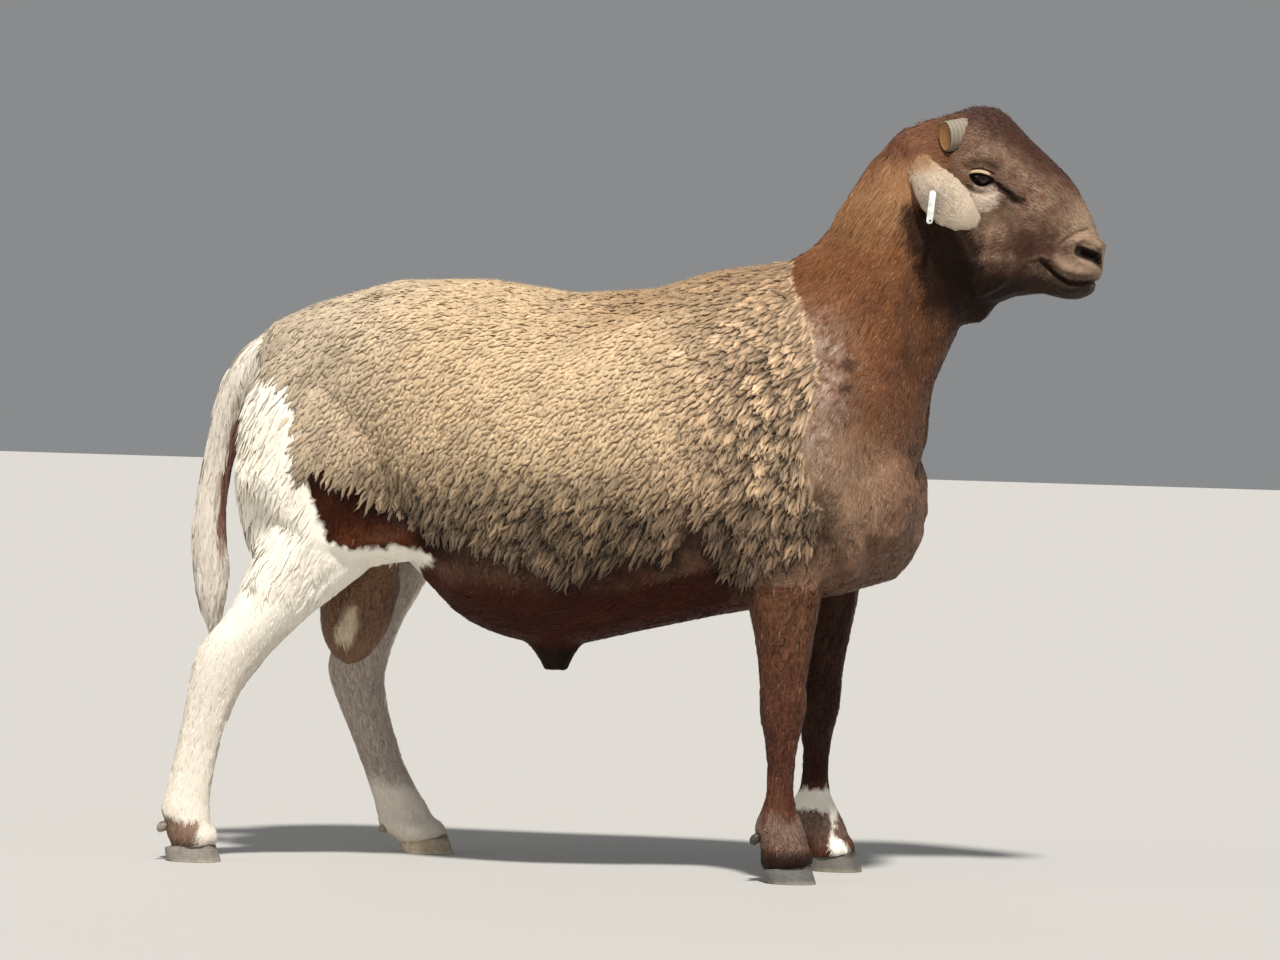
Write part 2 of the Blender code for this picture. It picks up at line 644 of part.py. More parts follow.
def tag_strip():
    """A narrow strip with round ends that hangs from the pin, flat against the right ear."""
    width, thick, length = TAG_SIZE
    mesh = bmesh.new()
    bmesh.ops.create_cube(mesh, size=1.0, matrix=Matrix.Diagonal((width, thick, length, 1.0)))
    bmesh.ops.bevel(mesh, geom=[edge for edge in mesh.edges if abs(
        (edge.verts[0].co - edge.verts[1].co).normalized().y) > 0.9],
        offset=width * 0.45, segments=3, profile=0.5, affect="EDGES")
    bmesh.ops.translate(mesh, verts=mesh.verts, vec=(0, 0, -length / 2 + width / 2))
    bmesh.ops.transform(mesh, verts=mesh.verts, matrix=tag_frame())
    return mesh


def add_ear_tag():
    """The tag as one solid: its strip, joined to its pin."""
    tag = add_node("ear_tag", tag_strip(), "tag", tag_frame(), smooth=False)
    pin = add_object("pin", tag_pin())
    join = tag.modifiers.new("join", "BOOLEAN")
    join.operation = "UNION"
    join.object = pin
    tag.data = evaluated_mesh(tag)
    tag.modifiers.clear()
    bpy.data.objects.remove(pin)


def islands(mesh):
    """The separate shells of a bmesh, each as a set of vertices."""
    left, found = set(mesh.verts), []
    while left:
        seed = left.pop()
        shell, front = {seed}, [seed]
        while front:
            vertex = front.pop()
            for edge in vertex.link_edges:
                other = edge.other_vert(vertex)
                if other not in shell:
                    shell.add(other)
                    front.append(other)
        left -= shell
        found.append(shell)
    return found


def part_flesh(whole):
    """Splits the cut flesh into its nodes. Each shell takes the name of the anchor nearest its middle."""
    mesh = bmesh.new()
    mesh.from_mesh(whole.data)
    shells = islands(mesh)
    for name, (anchor, finish) in FLESH_NODES.items():
        def distance(shell):
            return (sum((v.co for v in shell), Vector()) / len(shell) - Vector(anchor)).length

        shell = min(shells, key=distance)
        node = mesh.copy()
        node.verts.ensure_lookup_table()
        kept = {vertex.index for vertex in shell}
        bmesh.ops.delete(node, geom=[v for v in node.verts if v.index not in kept], context="VERTS")
        add_node(name, node, finish, Matrix.Translation(anchor))
    mesh.free()


def add_head_fittings(mirror, side_word):
    """Eye, horn stump and ear of one side. Returns the cutters that let them into the flesh."""
    eye_place = Matrix.Translation((EYE_CENTRE.x, mirror * EYE_CENTRE.y, EYE_CENTRE.z))
    horn_place = Matrix.Translation((HORN_BASE.x, mirror * HORN_BASE.y, HORN_BASE.z))
    root_x, root_y, root_z = EAR_LINE[0]
    add_node(f"{side_word}_eye", eye(mirror), "eye", eye_place)
    add_node(f"{side_word}_horn", horn(mirror), "horn", horn_place, smooth=False)
    blade = add_node(f"{side_word}_ear", ear(mirror), "pale_ear",
                     Matrix.Translation((root_x, mirror * root_y, root_z)))
    if mirror < 0:
        pin_hole = add_cutter("pin_hole", tag_pin(GAP))
        subtract(blade, [pin_hole])
        bpy.data.objects.remove(pin_hole)
    return [
        add_cutter(f"{side_word}_eye", eye(mirror, GAP)),
        add_cutter(f"{side_word}_lids", lids(mirror)),
        add_cutter(f"{side_word}_horn", horn(mirror, GAP)),
        add_cutter(f"{side_word}_ear", ear(mirror, GAP)),
    ]


def add_foot(name):
    """The claws and dewclaws of one foot. Returns the cutters that make room for them."""
    frame, half_length = foot_frame(name)
    cutters = [crown_cutter(name)]
    for side, word in ((-1, "right"), (1, "left")):
        fetlock = dewclaw_frame(name, side)
        add_node(f"{name}_{word}_claw", claw(frame, half_length, side), "claw", frame, smooth=False)
        add_node(f"{name}_{word}_dewclaw", dewclaw(fetlock), "dewclaw", fetlock)
        cutters.append(add_cutter(f"{name}_{word}_dewclaw", dewclaw(fetlock, GAP)))
    return cutters


def build():
    """Models the ram: an empty that holds every node, the fittings, and the flesh cut to fit them."""
    for made in list(bpy.data.objects):
        bpy.data.objects.remove(made)
    root = bpy.data.objects.new(ROOT_NAME, None)
    bpy.context.scene.collection.objects.link(root)
    cutters = [thin_cut(name, *shape) for name, shape in CUTS.items()]
    for mirror, side_word in ((-1, "right"), (1, "left")):
        cutters += add_head_fittings(mirror, side_word)
    for name in FEET:
        cutters += add_foot(name)
    add_ear_tag()
    flesh = joined_flesh()
    subtract(flesh, cutters)
    part_flesh(flesh)
    for made in [flesh, *cutters]:
        bpy.data.objects.remove(made)


build()
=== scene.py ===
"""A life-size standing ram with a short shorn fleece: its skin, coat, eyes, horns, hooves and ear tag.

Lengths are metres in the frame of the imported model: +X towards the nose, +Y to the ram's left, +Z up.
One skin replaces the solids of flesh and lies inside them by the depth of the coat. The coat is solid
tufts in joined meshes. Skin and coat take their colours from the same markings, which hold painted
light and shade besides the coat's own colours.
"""

import logging
import math
from collections.abc import Callable, Sequence
from dataclasses import dataclass, field, fields
from enum import Enum
from functools import partial

import bmesh
import bpy
import numpy as np
from bmesh.types import BMesh, BMFace
from bpy.types import Material, Mesh, Node, NodeSocket, NodeTree, Object
from mathutils import Matrix, Vector
from mathutils.bvhtree import BVHTree
from mathutils.kdtree import KDTree


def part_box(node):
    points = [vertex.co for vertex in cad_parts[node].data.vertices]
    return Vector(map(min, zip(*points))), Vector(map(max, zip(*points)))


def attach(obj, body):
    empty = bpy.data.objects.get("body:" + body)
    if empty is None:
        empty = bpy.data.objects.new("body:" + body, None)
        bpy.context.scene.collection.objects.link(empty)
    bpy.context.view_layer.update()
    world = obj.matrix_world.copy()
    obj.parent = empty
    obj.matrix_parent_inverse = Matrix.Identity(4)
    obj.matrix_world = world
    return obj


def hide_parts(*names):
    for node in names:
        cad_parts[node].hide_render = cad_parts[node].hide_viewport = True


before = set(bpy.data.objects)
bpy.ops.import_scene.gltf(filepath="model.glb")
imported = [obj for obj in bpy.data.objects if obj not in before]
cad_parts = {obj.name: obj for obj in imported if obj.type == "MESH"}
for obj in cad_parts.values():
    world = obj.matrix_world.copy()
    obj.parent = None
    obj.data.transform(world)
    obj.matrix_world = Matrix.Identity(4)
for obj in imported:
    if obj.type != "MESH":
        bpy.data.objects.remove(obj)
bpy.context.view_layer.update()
LOG = logging.getLogger("ram")

Array = np.ndarray
Point = tuple[float, float]
Triple = tuple[float, float, float]
Number = float | Array
AddNode = Callable[..., Node]

BODY = "root"
FORELEGS = ("right_foreleg", "left_foreleg")
HINDLEGS = ("right_hindleg", "left_hindleg")
EARS = ("right_ear", "left_ear")
FLESH = ("trunk", "neck", "head", "tail", "scrotum", "sheath", *FORELEGS, *HINDLEGS, *EARS)
COLOUR_LAYER = "Markings"  # the colour of skin and coat, point by point
LIE_LAYER = "Lie"  # which way the coat lies
FIBRE_MAP = "Fibre"  # millimetres across and along a tuft
ROOT_MAP = "OFBake"  # each tuft is a small patch at its root's place on the unwrapped skin
PATCH = 0.003  # the width of that patch
PIECE_TRIANGLES = 190_000
MM = 0.001


class Side(Enum):
    """The ram's own sides, as the sign of Y."""

    RIGHT = -1
    LEFT = 1

    @property
    def word(self) -> str:
        """The side in lower case, as node names have it."""
        return self.name.lower()


# ---- Numbers and noise ----

def linear(code: str) -> Array:
    """Turn an sRGB hex colour such as "C2A67E" to linear light."""
    part = np.array([int(code[i:i + 2], 16) for i in (0, 2, 4)]) / 255
    return np.where(part <= 0.04045, part / 12.92, ((part + 0.055) / 1.055) ** 2.4)


def ramp(value: Number, low: float, high: float) -> Array:
    """Rise softly from 0 at low to 1 at high; low may be the greater of the two."""
    share = np.clip((np.asarray(value) - low) / (high - low), 0, 1)
    return share * share * (3 - 2 * share)


def mix(first: Array, second: Array, share: Number) -> Array:
    """Go from first to second by a share, which may be one value per row."""
    share = np.asarray(share)
    if share.ndim and np.shape(first)[-1:] == (3,):
        share = share[..., None]
    return first + (second - first) * share


def unit(vectors: Array) -> Array:
    """Scale each row to length 1."""
    return vectors / np.maximum(np.linalg.norm(vectors, axis=-1, keepdims=True), 1e-9)


def flat_on(vectors: Array, normals: Array) -> Array:
    """Press each vector into the plane of its normal, at length 1."""
    return unit(vectors - normals * (vectors * normals).sum(-1, keepdims=True))


class Ripple:
    """Soft noise of unit spread: sine waves of about one length, in seeded random directions."""

    def __init__(self, size: float, seed: int, waves: int = 10) -> None:
        """Choose the waves.

        Args:
            size: The length of a middling wave.
            seed: The seed that fixes the pattern.
            waves: How many waves are added.
        """
        chance = np.random.default_rng(seed)
        ways = unit(chance.normal(size=(waves, 3)))
        self.ways = ways * (math.tau / size * chance.uniform(0.6, 1.6, (waves, 1)))
        self.starts = chance.uniform(0, math.tau, waves)

    def at(self, points: Array) -> Array:
        """Give the noise at each point."""
        return np.sin(points @ self.ways.T + self.starts).sum(-1) / math.sqrt(len(self.starts) / 2)


def line_distance(points: Array, line: Sequence[Point]) -> tuple[Array, Array]:
    """Measure from points to an open line seen from the side.

    Args:
        points: Rows of x, y, z.
        line: The (x, z) corners of the line, in millimetres.

    Returns:
        The distance, and the share of the line's length at which it is nearest.
    """
    line = np.array(line) / 1000
    start, along = line[:-1], np.diff(line, axis=0)
    length = np.linalg.norm(along, axis=1)
    spot = points[:, None, (0, 2)]
    share = np.clip(((spot - start) * along).sum(-1) / (along ** 2).sum(-1), 0, 1)
    distance = np.linalg.norm(spot - start - along * share[..., None], axis=-1)
    best = distance.argmin(1)
    row = np.arange(len(points))
    before = np.concatenate(([0.0], np.cumsum(length)))[best]
    return distance[row, best], (before + share[row, best] * length[best]) / length.sum()


def inside_by(points: Array, corners: Sequence[Point]) -> Array:
    """Give each point's distance from a closed line seen from the side.

    Args:
        points: Rows of x, y, z.
        corners: The (x, z) corners of the line, in millimetres, once round in either direction.

    Returns:
        The distance, above zero inside and below zero outside.
    """
    distance, _ = line_distance(points, (*corners, corners[0]))
    start = np.array(corners) / 1000
    (low_x, low), (high_x, high) = start.T, np.roll(start, -1, axis=0).T
    z = points[:, 2:]
    at_x = low_x + (z - low) / np.where(high == low, 1.0, high - low) * (high_x - low_x)
    crossed = ((low <= z) != (high <= z)) & (points[:, :1] < at_x)
    return np.where(crossed.sum(1) % 2 == 1, distance, -distance)


# ---- Blender helpers ----

def add_node(tree: NodeTree, kind: str, inputs: dict | None = None, **settings: object) -> Node:
    """Add a shader node with its settings, values and links.

    Args:
        tree: The node tree.
        kind: The node's type name, without "ShaderNode".
        inputs: What goes into each input, by name or number: a value, an output to link, or a node
            whose first output is linked.
        settings: Properties of the node.

    Returns:
        The node.
    """
    node = tree.nodes.new("ShaderNode" + kind)
    for name, value in settings.items():
        setattr(node, name, value)
    for key, value in (inputs or {}).items():
        value = value.outputs[0] if isinstance(value, Node) else value
        if isinstance(value, NodeSocket):
            tree.links.new(value, node.inputs[key])
        else:
            node.inputs[key].default_value = value
    return node


def streaked(add: AddNode, tone: Node, noise: Node, amount: float) -> Node:
    """Vary a colour by noise, less where it is pale.

    Args:
        add: Adds a node to the material's tree.
        tone: The node of the colour.
        noise: The node of a noise factor of about 0.3 to 0.7.
        amount: How far dark hair swings either way.

    Returns:
        The node of the varied colour.
    """
    split = add("SeparateColor", {"Color": tone})
    much = add("Math", {0: split, 1: -1.25, 2: 1.0}, operation="MULTIPLY_ADD", use_clamp=True)
    swing = add("MapRange", {"Value": noise, "From Min": 0.3, "From Max": 0.7, "To Min": -amount,
                             "To Max": amount})
    share = add("Math", {0: swing, 1: much, 2: 1.0}, operation="MULTIPLY_ADD")
    return add("VectorMath", {0: tone, "Scale": share}, operation="SCALE")


def colour(code: str) -> tuple[float, float, float, float]:
    """Give an sRGB hex colour as a linear colour with full alpha."""
    return (*(float(part) for part in linear(code)), 1.0)


def node_copy(name: str) -> BMesh:
    """Copy a CAD node's mesh and merge its loose triangles."""
    copy = bmesh.new()
    copy.from_mesh(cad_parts[name].data)
    bmesh.ops.remove_doubles(copy, verts=copy.verts, dist=1e-5)
    copy.normal_update()
    return copy


def round_edges(shape: BMesh, degrees: float, offset: float, segments: int) -> None:
    """Bevel the edges of a shape that are sharper than an angle."""
    sharp = [edge for edge in shape.edges
             if edge.is_manifold and edge.calc_face_angle() > math.radians(degrees)]
    bmesh.ops.bevel(shape, geom=sharp, offset=offset, segments=segments, profile=0.5, affect="EDGES",
                    clamp_overlap=True, material=-1)


def show(name: str, mesh: BMesh | Mesh, smooth: bool = True) -> Object:
    """Link a mesh to the scene as an object at the origin.

    Args:
        name: The piece's name.
        mesh: Its mesh, or a bmesh, which is freed.
        smooth: Whether its faces are shaded smooth.

    Returns:
        The object.
    """
    if isinstance(mesh, BMesh):
        data = bpy.data.meshes.new(name)
        mesh.to_mesh(data)
        mesh.free()
        mesh = data
    mesh.polygons.foreach_set("use_smooth", np.full(len(mesh.polygons), smooth))
    made = bpy.data.objects.new(name, mesh)
    bpy.context.scene.collection.objects.link(made)
    return made


def applied(rough: Object) -> Mesh:
    """Take an object out of the scene and give its mesh with the modifiers applied."""
    graph = bpy.context.evaluated_depsgraph_get()
    mesh = bpy.data.meshes.new_from_object(rough.evaluated_get(graph))
    bpy.data.objects.remove(rough)
    return mesh


def numbers(items: Sequence, name: str, width: int = 3) -> Array:
    """Read one property of every item as an array of rows."""
    whole = name == "vertices"
    found = np.empty(len(items) * width, np.int32 if whole else np.float32)
    items.foreach_get(name, found)
    return found.reshape(-1, width).astype(np.int32 if whole else float)


def paint(mesh: Mesh, rows: Array) -> None:
    """Store a linear colour on every vertex of a mesh."""
    layer = mesh.color_attributes.new(COLOUR_LAYER, "FLOAT_COLOR", "POINT")
    full = np.ones((len(rows), 4), np.float32)
    full[:, :3] = rows
    layer.data.foreach_set("color", full.ravel())
    mesh.color_attributes.active_color = layer


def wear(piece: Object, finish: Material, slot: str, *nodes: str) -> Object:
    """Give a finished piece its material and its place in the frame.

    Args:
        piece: The object.
        finish: Its material.
        slot: Not used.
        nodes: The CAD nodes that it stands for.

    Returns:
        The same object.
    """
    piece.data.materials.clear()
    piece.data.materials.append(finish)
    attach(piece, BODY)
    if nodes:
        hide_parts(*nodes)
    triangles = sum(len(face.vertices) - 2 for face in piece.data.polygons)
    LOG.info("%s: %d triangles", piece.name, triangles)
    return piece


# ---- Where the coat changes, seen from the side, in millimetres; both sides are alike ----

WHITE_LINE = ((-520, 640), (-463, 627), (-441, 595), (-406, 580), (-400, 550), (-392, 502), (-381, 466),
              (-368, 430), (-358, 394), (-327, 383), (-266, 391), (-223, 375), (-250, 363), (-300, 353),
              (-330, 342))
FLEECE_HEM = ((-376, 484), (-327, 464), (-295, 444), (-256, 428), (-232, 410), (-178, 404), (-129, 390),
              (-86, 376), (-54, 360), (-9, 384), (24, 398), (64, 392), (78, 424), (87, 466), (102, 428),
              (122, 394), (143, 364), (176, 382), (208, 396), (232, 412), (242, 434), (236, 458),
              (228, 485), (220, 509), (214, 532), (219, 556), (230, 580), (234, 604), (229, 628),
              (217, 670), (200, 699), (188, 724), (184, 745))
FLEECE = FLEECE_HEM + ((170, 820), (-600, 820), (-600, 640)) + WHITE_LINE[:7]
WHITE_REAR = WHITE_LINE + ((-345, 300), (-345, -50), (-700, -50), (-700, 640))


def part_is(labels: Array, *names: str) -> Array:
    """Say for each label whether it is one of the named parts of the flesh."""
    return np.isin(labels, [FLESH.index(name) for name in names])


def is_leg(labels: Array) -> Array:
    """Say for each label whether it is one of the four legs."""
    return part_is(labels, *FORELEGS, *HINDLEGS)


def inner_side(points: Array, normals: Array) -> Array:
    """Give how far the surface faces the middle plane."""
    return ramp(-normals[:, 1] * np.sign(points[:, 1]), -0.1, 0.5)


def layered(tone: Array, *layers: tuple[Array, Number]) -> Array:
    """Lay colours over a tone one after another, each by its share."""
    for over, share in layers:
        tone = mix(tone, over, share)
    return tone


class Markings:
    """The colours of the ram with its painted light and shade, and the reach of its kinds of hair, alike
    for skin and coat.
    """

    fleece_lit = linear("C9B08E")
    fleece_rump = linear("C1B199")
    fleece_shoulder = linear("CDAE8E")
    fleece_red = linear("937350")
    # painted shade that darkens the fleece towards the hem
    wool_hem_shade = linear("4E321C")
    white = linear("F7F1E4")
    cream = linear("F3E9D6")
    shank = linear("D2C9BB")
    # painted shade on the inner sides of the legs and on the tail
    shank_shade = linear("988A80")
    neck_high = linear("8A6546")
    neck_mid = linear("684228")
    neck_dark = linear("593B2A")
    chest = linear("775B4A")
    # dark belly hair, and painted shade where the trunk faces down
    belly = linear("361406")
    flank = linear("331609")
    # a painted highlight along the flank fold
    flank_lit = linear("4A2610")
    elbow_grey = linear("8A705A")
    dusty = linear("B0A092")
    # pale hairs, partly painted glints of glossy hair
    pale_tip = linear("B69E8A")
    face = linear("745C4C")
    face_red = linear("553224")
    face_dark = linear("38211A")
    face_pale = linear("96806A")
    lid_pale = linear("C0AB8A")
    under_eye = linear("CDBBA8")
    lips = linear("2A1D17")
    ear = linear("B4A490")
    ear_grey = linear("8E8378")
    ear_base = linear("8A6444")
    leg_dark = linear("4E2F23")
    leg_lit = linear("5A3C2A")
    # greyer hair over the fetlock, partly painted sheen
    fetlock = linear("7D6B60")
    pastern = linear("664836")
    sheath = linear("1F130D")
    # the scrotum's painted pool of light, and the painted shade round it below
    scrotum = linear("D2C2A8")
    scrotum_dark = linear("745845")
    shadow = linear("1E110B")
    # the tail's reddish inner side, with painted shade
    tail_inside = linear("6A2E1E")
    black = linear("1A120E")

    def __init__(self) -> None:
        """Lay out the noise that breaks up edges and tones."""
        self.edge = Ripple(0.022, 3)
        self.fine_edge = Ripple(0.007, 4)
        self.patch = Ripple(0.06, 5)
        self.blotch = Ripple(0.018, 6)

    def ragged(self, points: Array, amount: float) -> Array:
        """Give an uneven shift for a border, up to about twice the amount."""
        return amount * (0.7 * self.edge.at(points) + 0.5 * self.fine_edge.at(points))

    def fleece_by(self, points: Array, labels: Array) -> Array:
        """Give how far each point is inside the border of the fleece."""
        inside = inside_by(points, FLEECE) + self.ragged(points, 0.003)
        return np.where(part_is(labels, "trunk", "neck") | is_leg(labels), inside, -1.0)

    @staticmethod
    def locks(points: Array) -> Array:
        """Give how far the wool hangs in deep pointed locks: shoulder and hem, and not back or flank."""
        x, _, z = points.T
        shoulder = ramp(x + 0.15 * (z - 0.6), 0.02, 0.16) * (1 - 0.4 * ramp(z, 0.6, 0.72))
        return np.maximum(np.maximum(shoulder, ramp(z, 0.53, 0.42)), 0.14 * ramp(x, -0.26, -0.38))

    def white_by(self, points: Array, labels: Array) -> Array:
        """Give how far each point is inside the white of the hindquarters."""
        inside = inside_by(points, WHITE_REAR) + self.ragged(points, 0.002)
        whole = part_is(labels, "tail") | part_is(labels, *HINDLEGS) & (points[:, 2] < 0.37)
        inside = np.where(whole, np.maximum(inside, 0.03), inside)
        return np.where(part_is(labels, "trunk", "tail", *HINDLEGS), inside, -1.0)

    def shaggy(self, points: Array, labels: Array) -> Array:
        """Give the share of long white hair: thighs, buttocks and tail, and not the shanks."""
        high = ramp(points[:, 2] + 0.25 * (points[:, 0] + 0.4), 0.3, 0.38)
        behind = ramp(points[:, 0], -0.335, -0.375)
        tail = part_is(labels, "tail")
        return ramp(self.white_by(points, labels), 0, 0.012) * np.where(tail, 1.0, high * behind)

    def colours(self, points: Array, normals: Array, labels: Array) -> Array:
        """Give the linear colour of the coat at each point, painted light and shade included.

        Args:
            points: Rows of x, y, z.
            normals: The outward normals there.
            labels: The part of the flesh that each point belongs to.

        Returns:
            One linear colour per point.
        """
        z = points[:, 2]
        fleece = self.fleece_by(points, labels)
        tail = part_is(labels, "tail")
        # Painted shade: the legs darker where they face the middle plane, and the tail greyer.
        inner = inner_side(points, normals) * is_leg(labels)
        inner = inner * ramp(z + self.ragged(points, 0.003), 0.075, 0.1)
        pale = layered(
            self.white,
            (self.cream, 0.25 + 0.25 * np.clip(self.patch.at(points), -1, 1)),
            (self.shank, 0.8 * is_leg(labels) * ramp(z, 0.34, 0.22)),
            (self.shank_shade, np.maximum(0.85 * inner, 0.4 * tail)))
        tone = layered(
            self._beside_wool(self._brown(points, normals, labels), points, labels, fleece),
            (pale, ramp(self.white_by(points, labels), -0.0015, 0.0015)),
            # The tail's reddish inner side, darkened by painted shade where it faces the buttock.
            (self.tail_inside, 0.9 * (tail * ramp(normals[:, 0], 0.45, 0.8) * ramp(z, 0.36, 0.42))))
        tone = self._feet(points, labels, tone)
        return mix(tone, self._wool(points, normals), ramp(fleece, -0.001, 0.001))

    def _beside_wool(self, tone: Array, points: Array, labels: Array, fleece: Array) -> Array:
        """Paint shade on the hair under the hem of the fleece, and dust it beside the shoulder.

        Args:
            tone: The colour so far.
            points: Places on the skin.
            labels: The part of the flesh at each.
            fleece: How far each point is inside the fleece.

        Returns:
            One linear colour per point.
        """
        x, _, z = points.T
        # Painted shade on the hair under the hem of the fleece.
        tone = tone * (1 - 0.65 * ramp(-fleece, 0.042, 0.004) * ramp(z, 0.5, 0.46))[:, None]
        dust = ramp(-fleece, 0.065, 0) * ramp(x, 0.14, 0.18) * ramp(z, 0.47, 0.54) * ramp(z, 0.72, 0.65)
        frost = (0.34 + 0.16 * np.clip(self.blotch.at(points), -2, 2)
                 + 0.16 * np.clip(self.fine_edge.at(points), -1.5, 1.5))
        tone = mix(tone, self.dusty, dust * np.clip(frost, 0, 0.8))
        for spot in NECK_SPOTS:
            dark = ramp(np.hypot(x - spot[0], z - spot[1]) + self.ragged(points, 0.002), 0.011, 0.004)
            tone = mix(tone, self.face_dark, 0.85 * dark * part_is(labels, "trunk", "neck"))
        return tone

    def _wool(self, points: Array, normals: Array) -> Array:
        """Colour the fleece: sandy, greyer on the rump, redder along the back, brown with painted shade at
        the hem.

        Args:
            points: Places on the skin.
            normals: The outward normals there.

        Returns:
            One linear colour per point.
        """
        x, _, z = points.T
        ahead = x + 0.3 * (0.6 - z)
        low = z + 0.015 * ramp(x, 0.02, 0.1) + 0.006 * self.blotch.at(points)
        tone = layered(
            self.fleece_lit,
            (self.fleece_rump, 0.9 * ramp(ahead, -0.2, -0.42)),
            (self.fleece_shoulder, 0.8 * ramp(ahead, 0.02, 0.14)),
            (self.fleece_red, 0.7 * (ramp(normals[:, 2], 0.45, 0.95) * ramp(x, -0.14, 0.02))),
            # Painted shade, darker towards the hem.
            (self.wool_hem_shade, 0.7 * ramp(low, 0.54, 0.41)))
        return tone * (1 + 0.05 * self.patch.at(points) + 0.03 * self.blotch.at(points))[:, None]

    def _brown(self, points: Array, normals: Array, labels: Array) -> Array:
        """Colour the short brown hair of the trunk, neck, head, ears and forelegs, with painted shade below
        the ear, under the jaw, on the belly, on the front of the neck and on the inner forelegs, a painted
        highlight along the flank fold and a painted pool of light on the scrotum.

        Args:
            points: Places on the skin.
            normals: The outward normals there.
            labels: The part of the flesh at each.

        Returns:
            One linear colour per point.
        """
        x, _, z = points.T
        rag = self.ragged(points, 1)
        under = ramp(-normals[:, 2], 0.15, 0.75) * (1 - 0.6 * ramp(x, 0.18, 0.26))
        trunk = layered(
            self.chest,
            # Dark belly hair, laid where the trunk faces down, so partly painted shade.
            (self.belly, np.maximum(under, ramp(z, 0.4, 0.33) * ramp(x, 0.16, 0.1))),
            (self.flank, ramp(x, -0.16, -0.22) * ramp(z, 0.36, 0.385)),
            # Painted highlight along the flank fold.
            (self.flank_lit, 0.8 * ramp(line_distance(points, FLANK_FOLD)[0], 0.02, 0.004)),
            (self.elbow_grey, 0.75 * ramp(np.hypot(x - 0.262, (z - 0.49) * 0.7), 0.085, 0.02)),
            (self.leg_dark, ramp(z, 0.36, 0.3) * ramp(x, 0.1, 0.14)))
        front = ramp(z - 0.9 * (x - 0.3), 0.68, 0.56)
        neck = layered(
            self.neck_mid,
            (self.neck_high, ramp(z, 0.74, 0.83)),
            (self.neck_dark, 0.55 * ramp(-normals[:, 0], 0.15, 0.75) * ramp(z, 0.8, 0.88)),
            (self.face_red, 0.75 * ramp(z + 0.004 * rag, 0.85, 0.885)),
            # Painted shade on the front of the neck, which the head shades.
            (self.neck_dark, np.maximum(0.45 * front, 0.8 * ramp(normals[:, 0], 0.1, 0.8))))
        head = part_is(labels, "head", "neck") * ramp(x + 0.005 * rag, 0.364, 0.398)
        # Painted shadow that the ear and cheek cast on the neck below them.
        ear_shadow = ramp(line_distance(points, EAR_SHADOW_LINE)[0] + 0.003 * rag, 0.046, 0.034)
        ear_shadow = 0.93 * ear_shadow * ramp(z, 0.83, 0.812) * ramp(z, 0.665, 0.705)
        # Painted shade under the jaw.
        jaw = ramp(line_distance(points, UNDER_JAW)[0] + 0.002 * rag, 0.022, 0.01)
        tone = layered(
            trunk,
            (neck, ramp(z + 0.35 * (x - 0.25) + 0.006 * rag, 0.46, 0.62)),
            (self._head(points, normals), head),
            (self.shadow, ear_shadow * part_is(labels, "head", "neck", "trunk")),
            (self.shadow, 0.88 * jaw * head))
        dull = ramp(np.hypot(x - 0.362, 1.4 * (z - 0.822)) + 0.003 * rag, 0.034, 0.008)
        ear = layered(
            self.ear,
            (self.ear_grey, 0.7 * dull + 0.25 * ramp(self.blotch.at(points), 0.2, 1.4)),
            (self.ear_base, 0.85 * ramp(z - 0.25 * (x - 0.345) + 0.004 * rag, 0.846, 0.87)))
        leg = layered(
            self.leg_dark,
            (self.leg_lit, 0.8 * ramp(z, 0.2, 0.33) + 0.2 * ramp(self.patch.at(points), 0, 1)),
            # Greyer over the fetlock, partly painted sheen of glossy hair.
            (self.fetlock, 0.55 * ramp(np.abs(z - 0.06) + 0.006 * rag, 0.028, 0.008)),
            # Painted shade on the inner sides of the forelegs.
            (self.shadow, 0.75 * (inner_side(points, normals) * ramp(z, 0.1, 0.12))))
        # A painted pool of light on the scrotum, with painted shade round it.
        spot = np.hypot(x + 0.349 - 0.25 * (z - 0.284), 0.55 * (z - 0.284)) + 0.002 * rag
        bag_light_and_shade = mix(self.scrotum_dark, self.scrotum, 0.9 * ramp(spot, 0.017, 0.008))
        for chosen, own in ((part_is(labels, *EARS), ear), (part_is(labels, *FORELEGS) & (z < 0.42), leg),
                            (part_is(labels, "sheath"), self.sheath), (part_is(labels, "scrotum"), bag_light_and_shade)):
            tone = np.where(chosen[:, None], own, tone)
        return tone * (1 + 0.06 * self.patch.at(points) + 0.05 * self.blotch.at(points))[:, None]

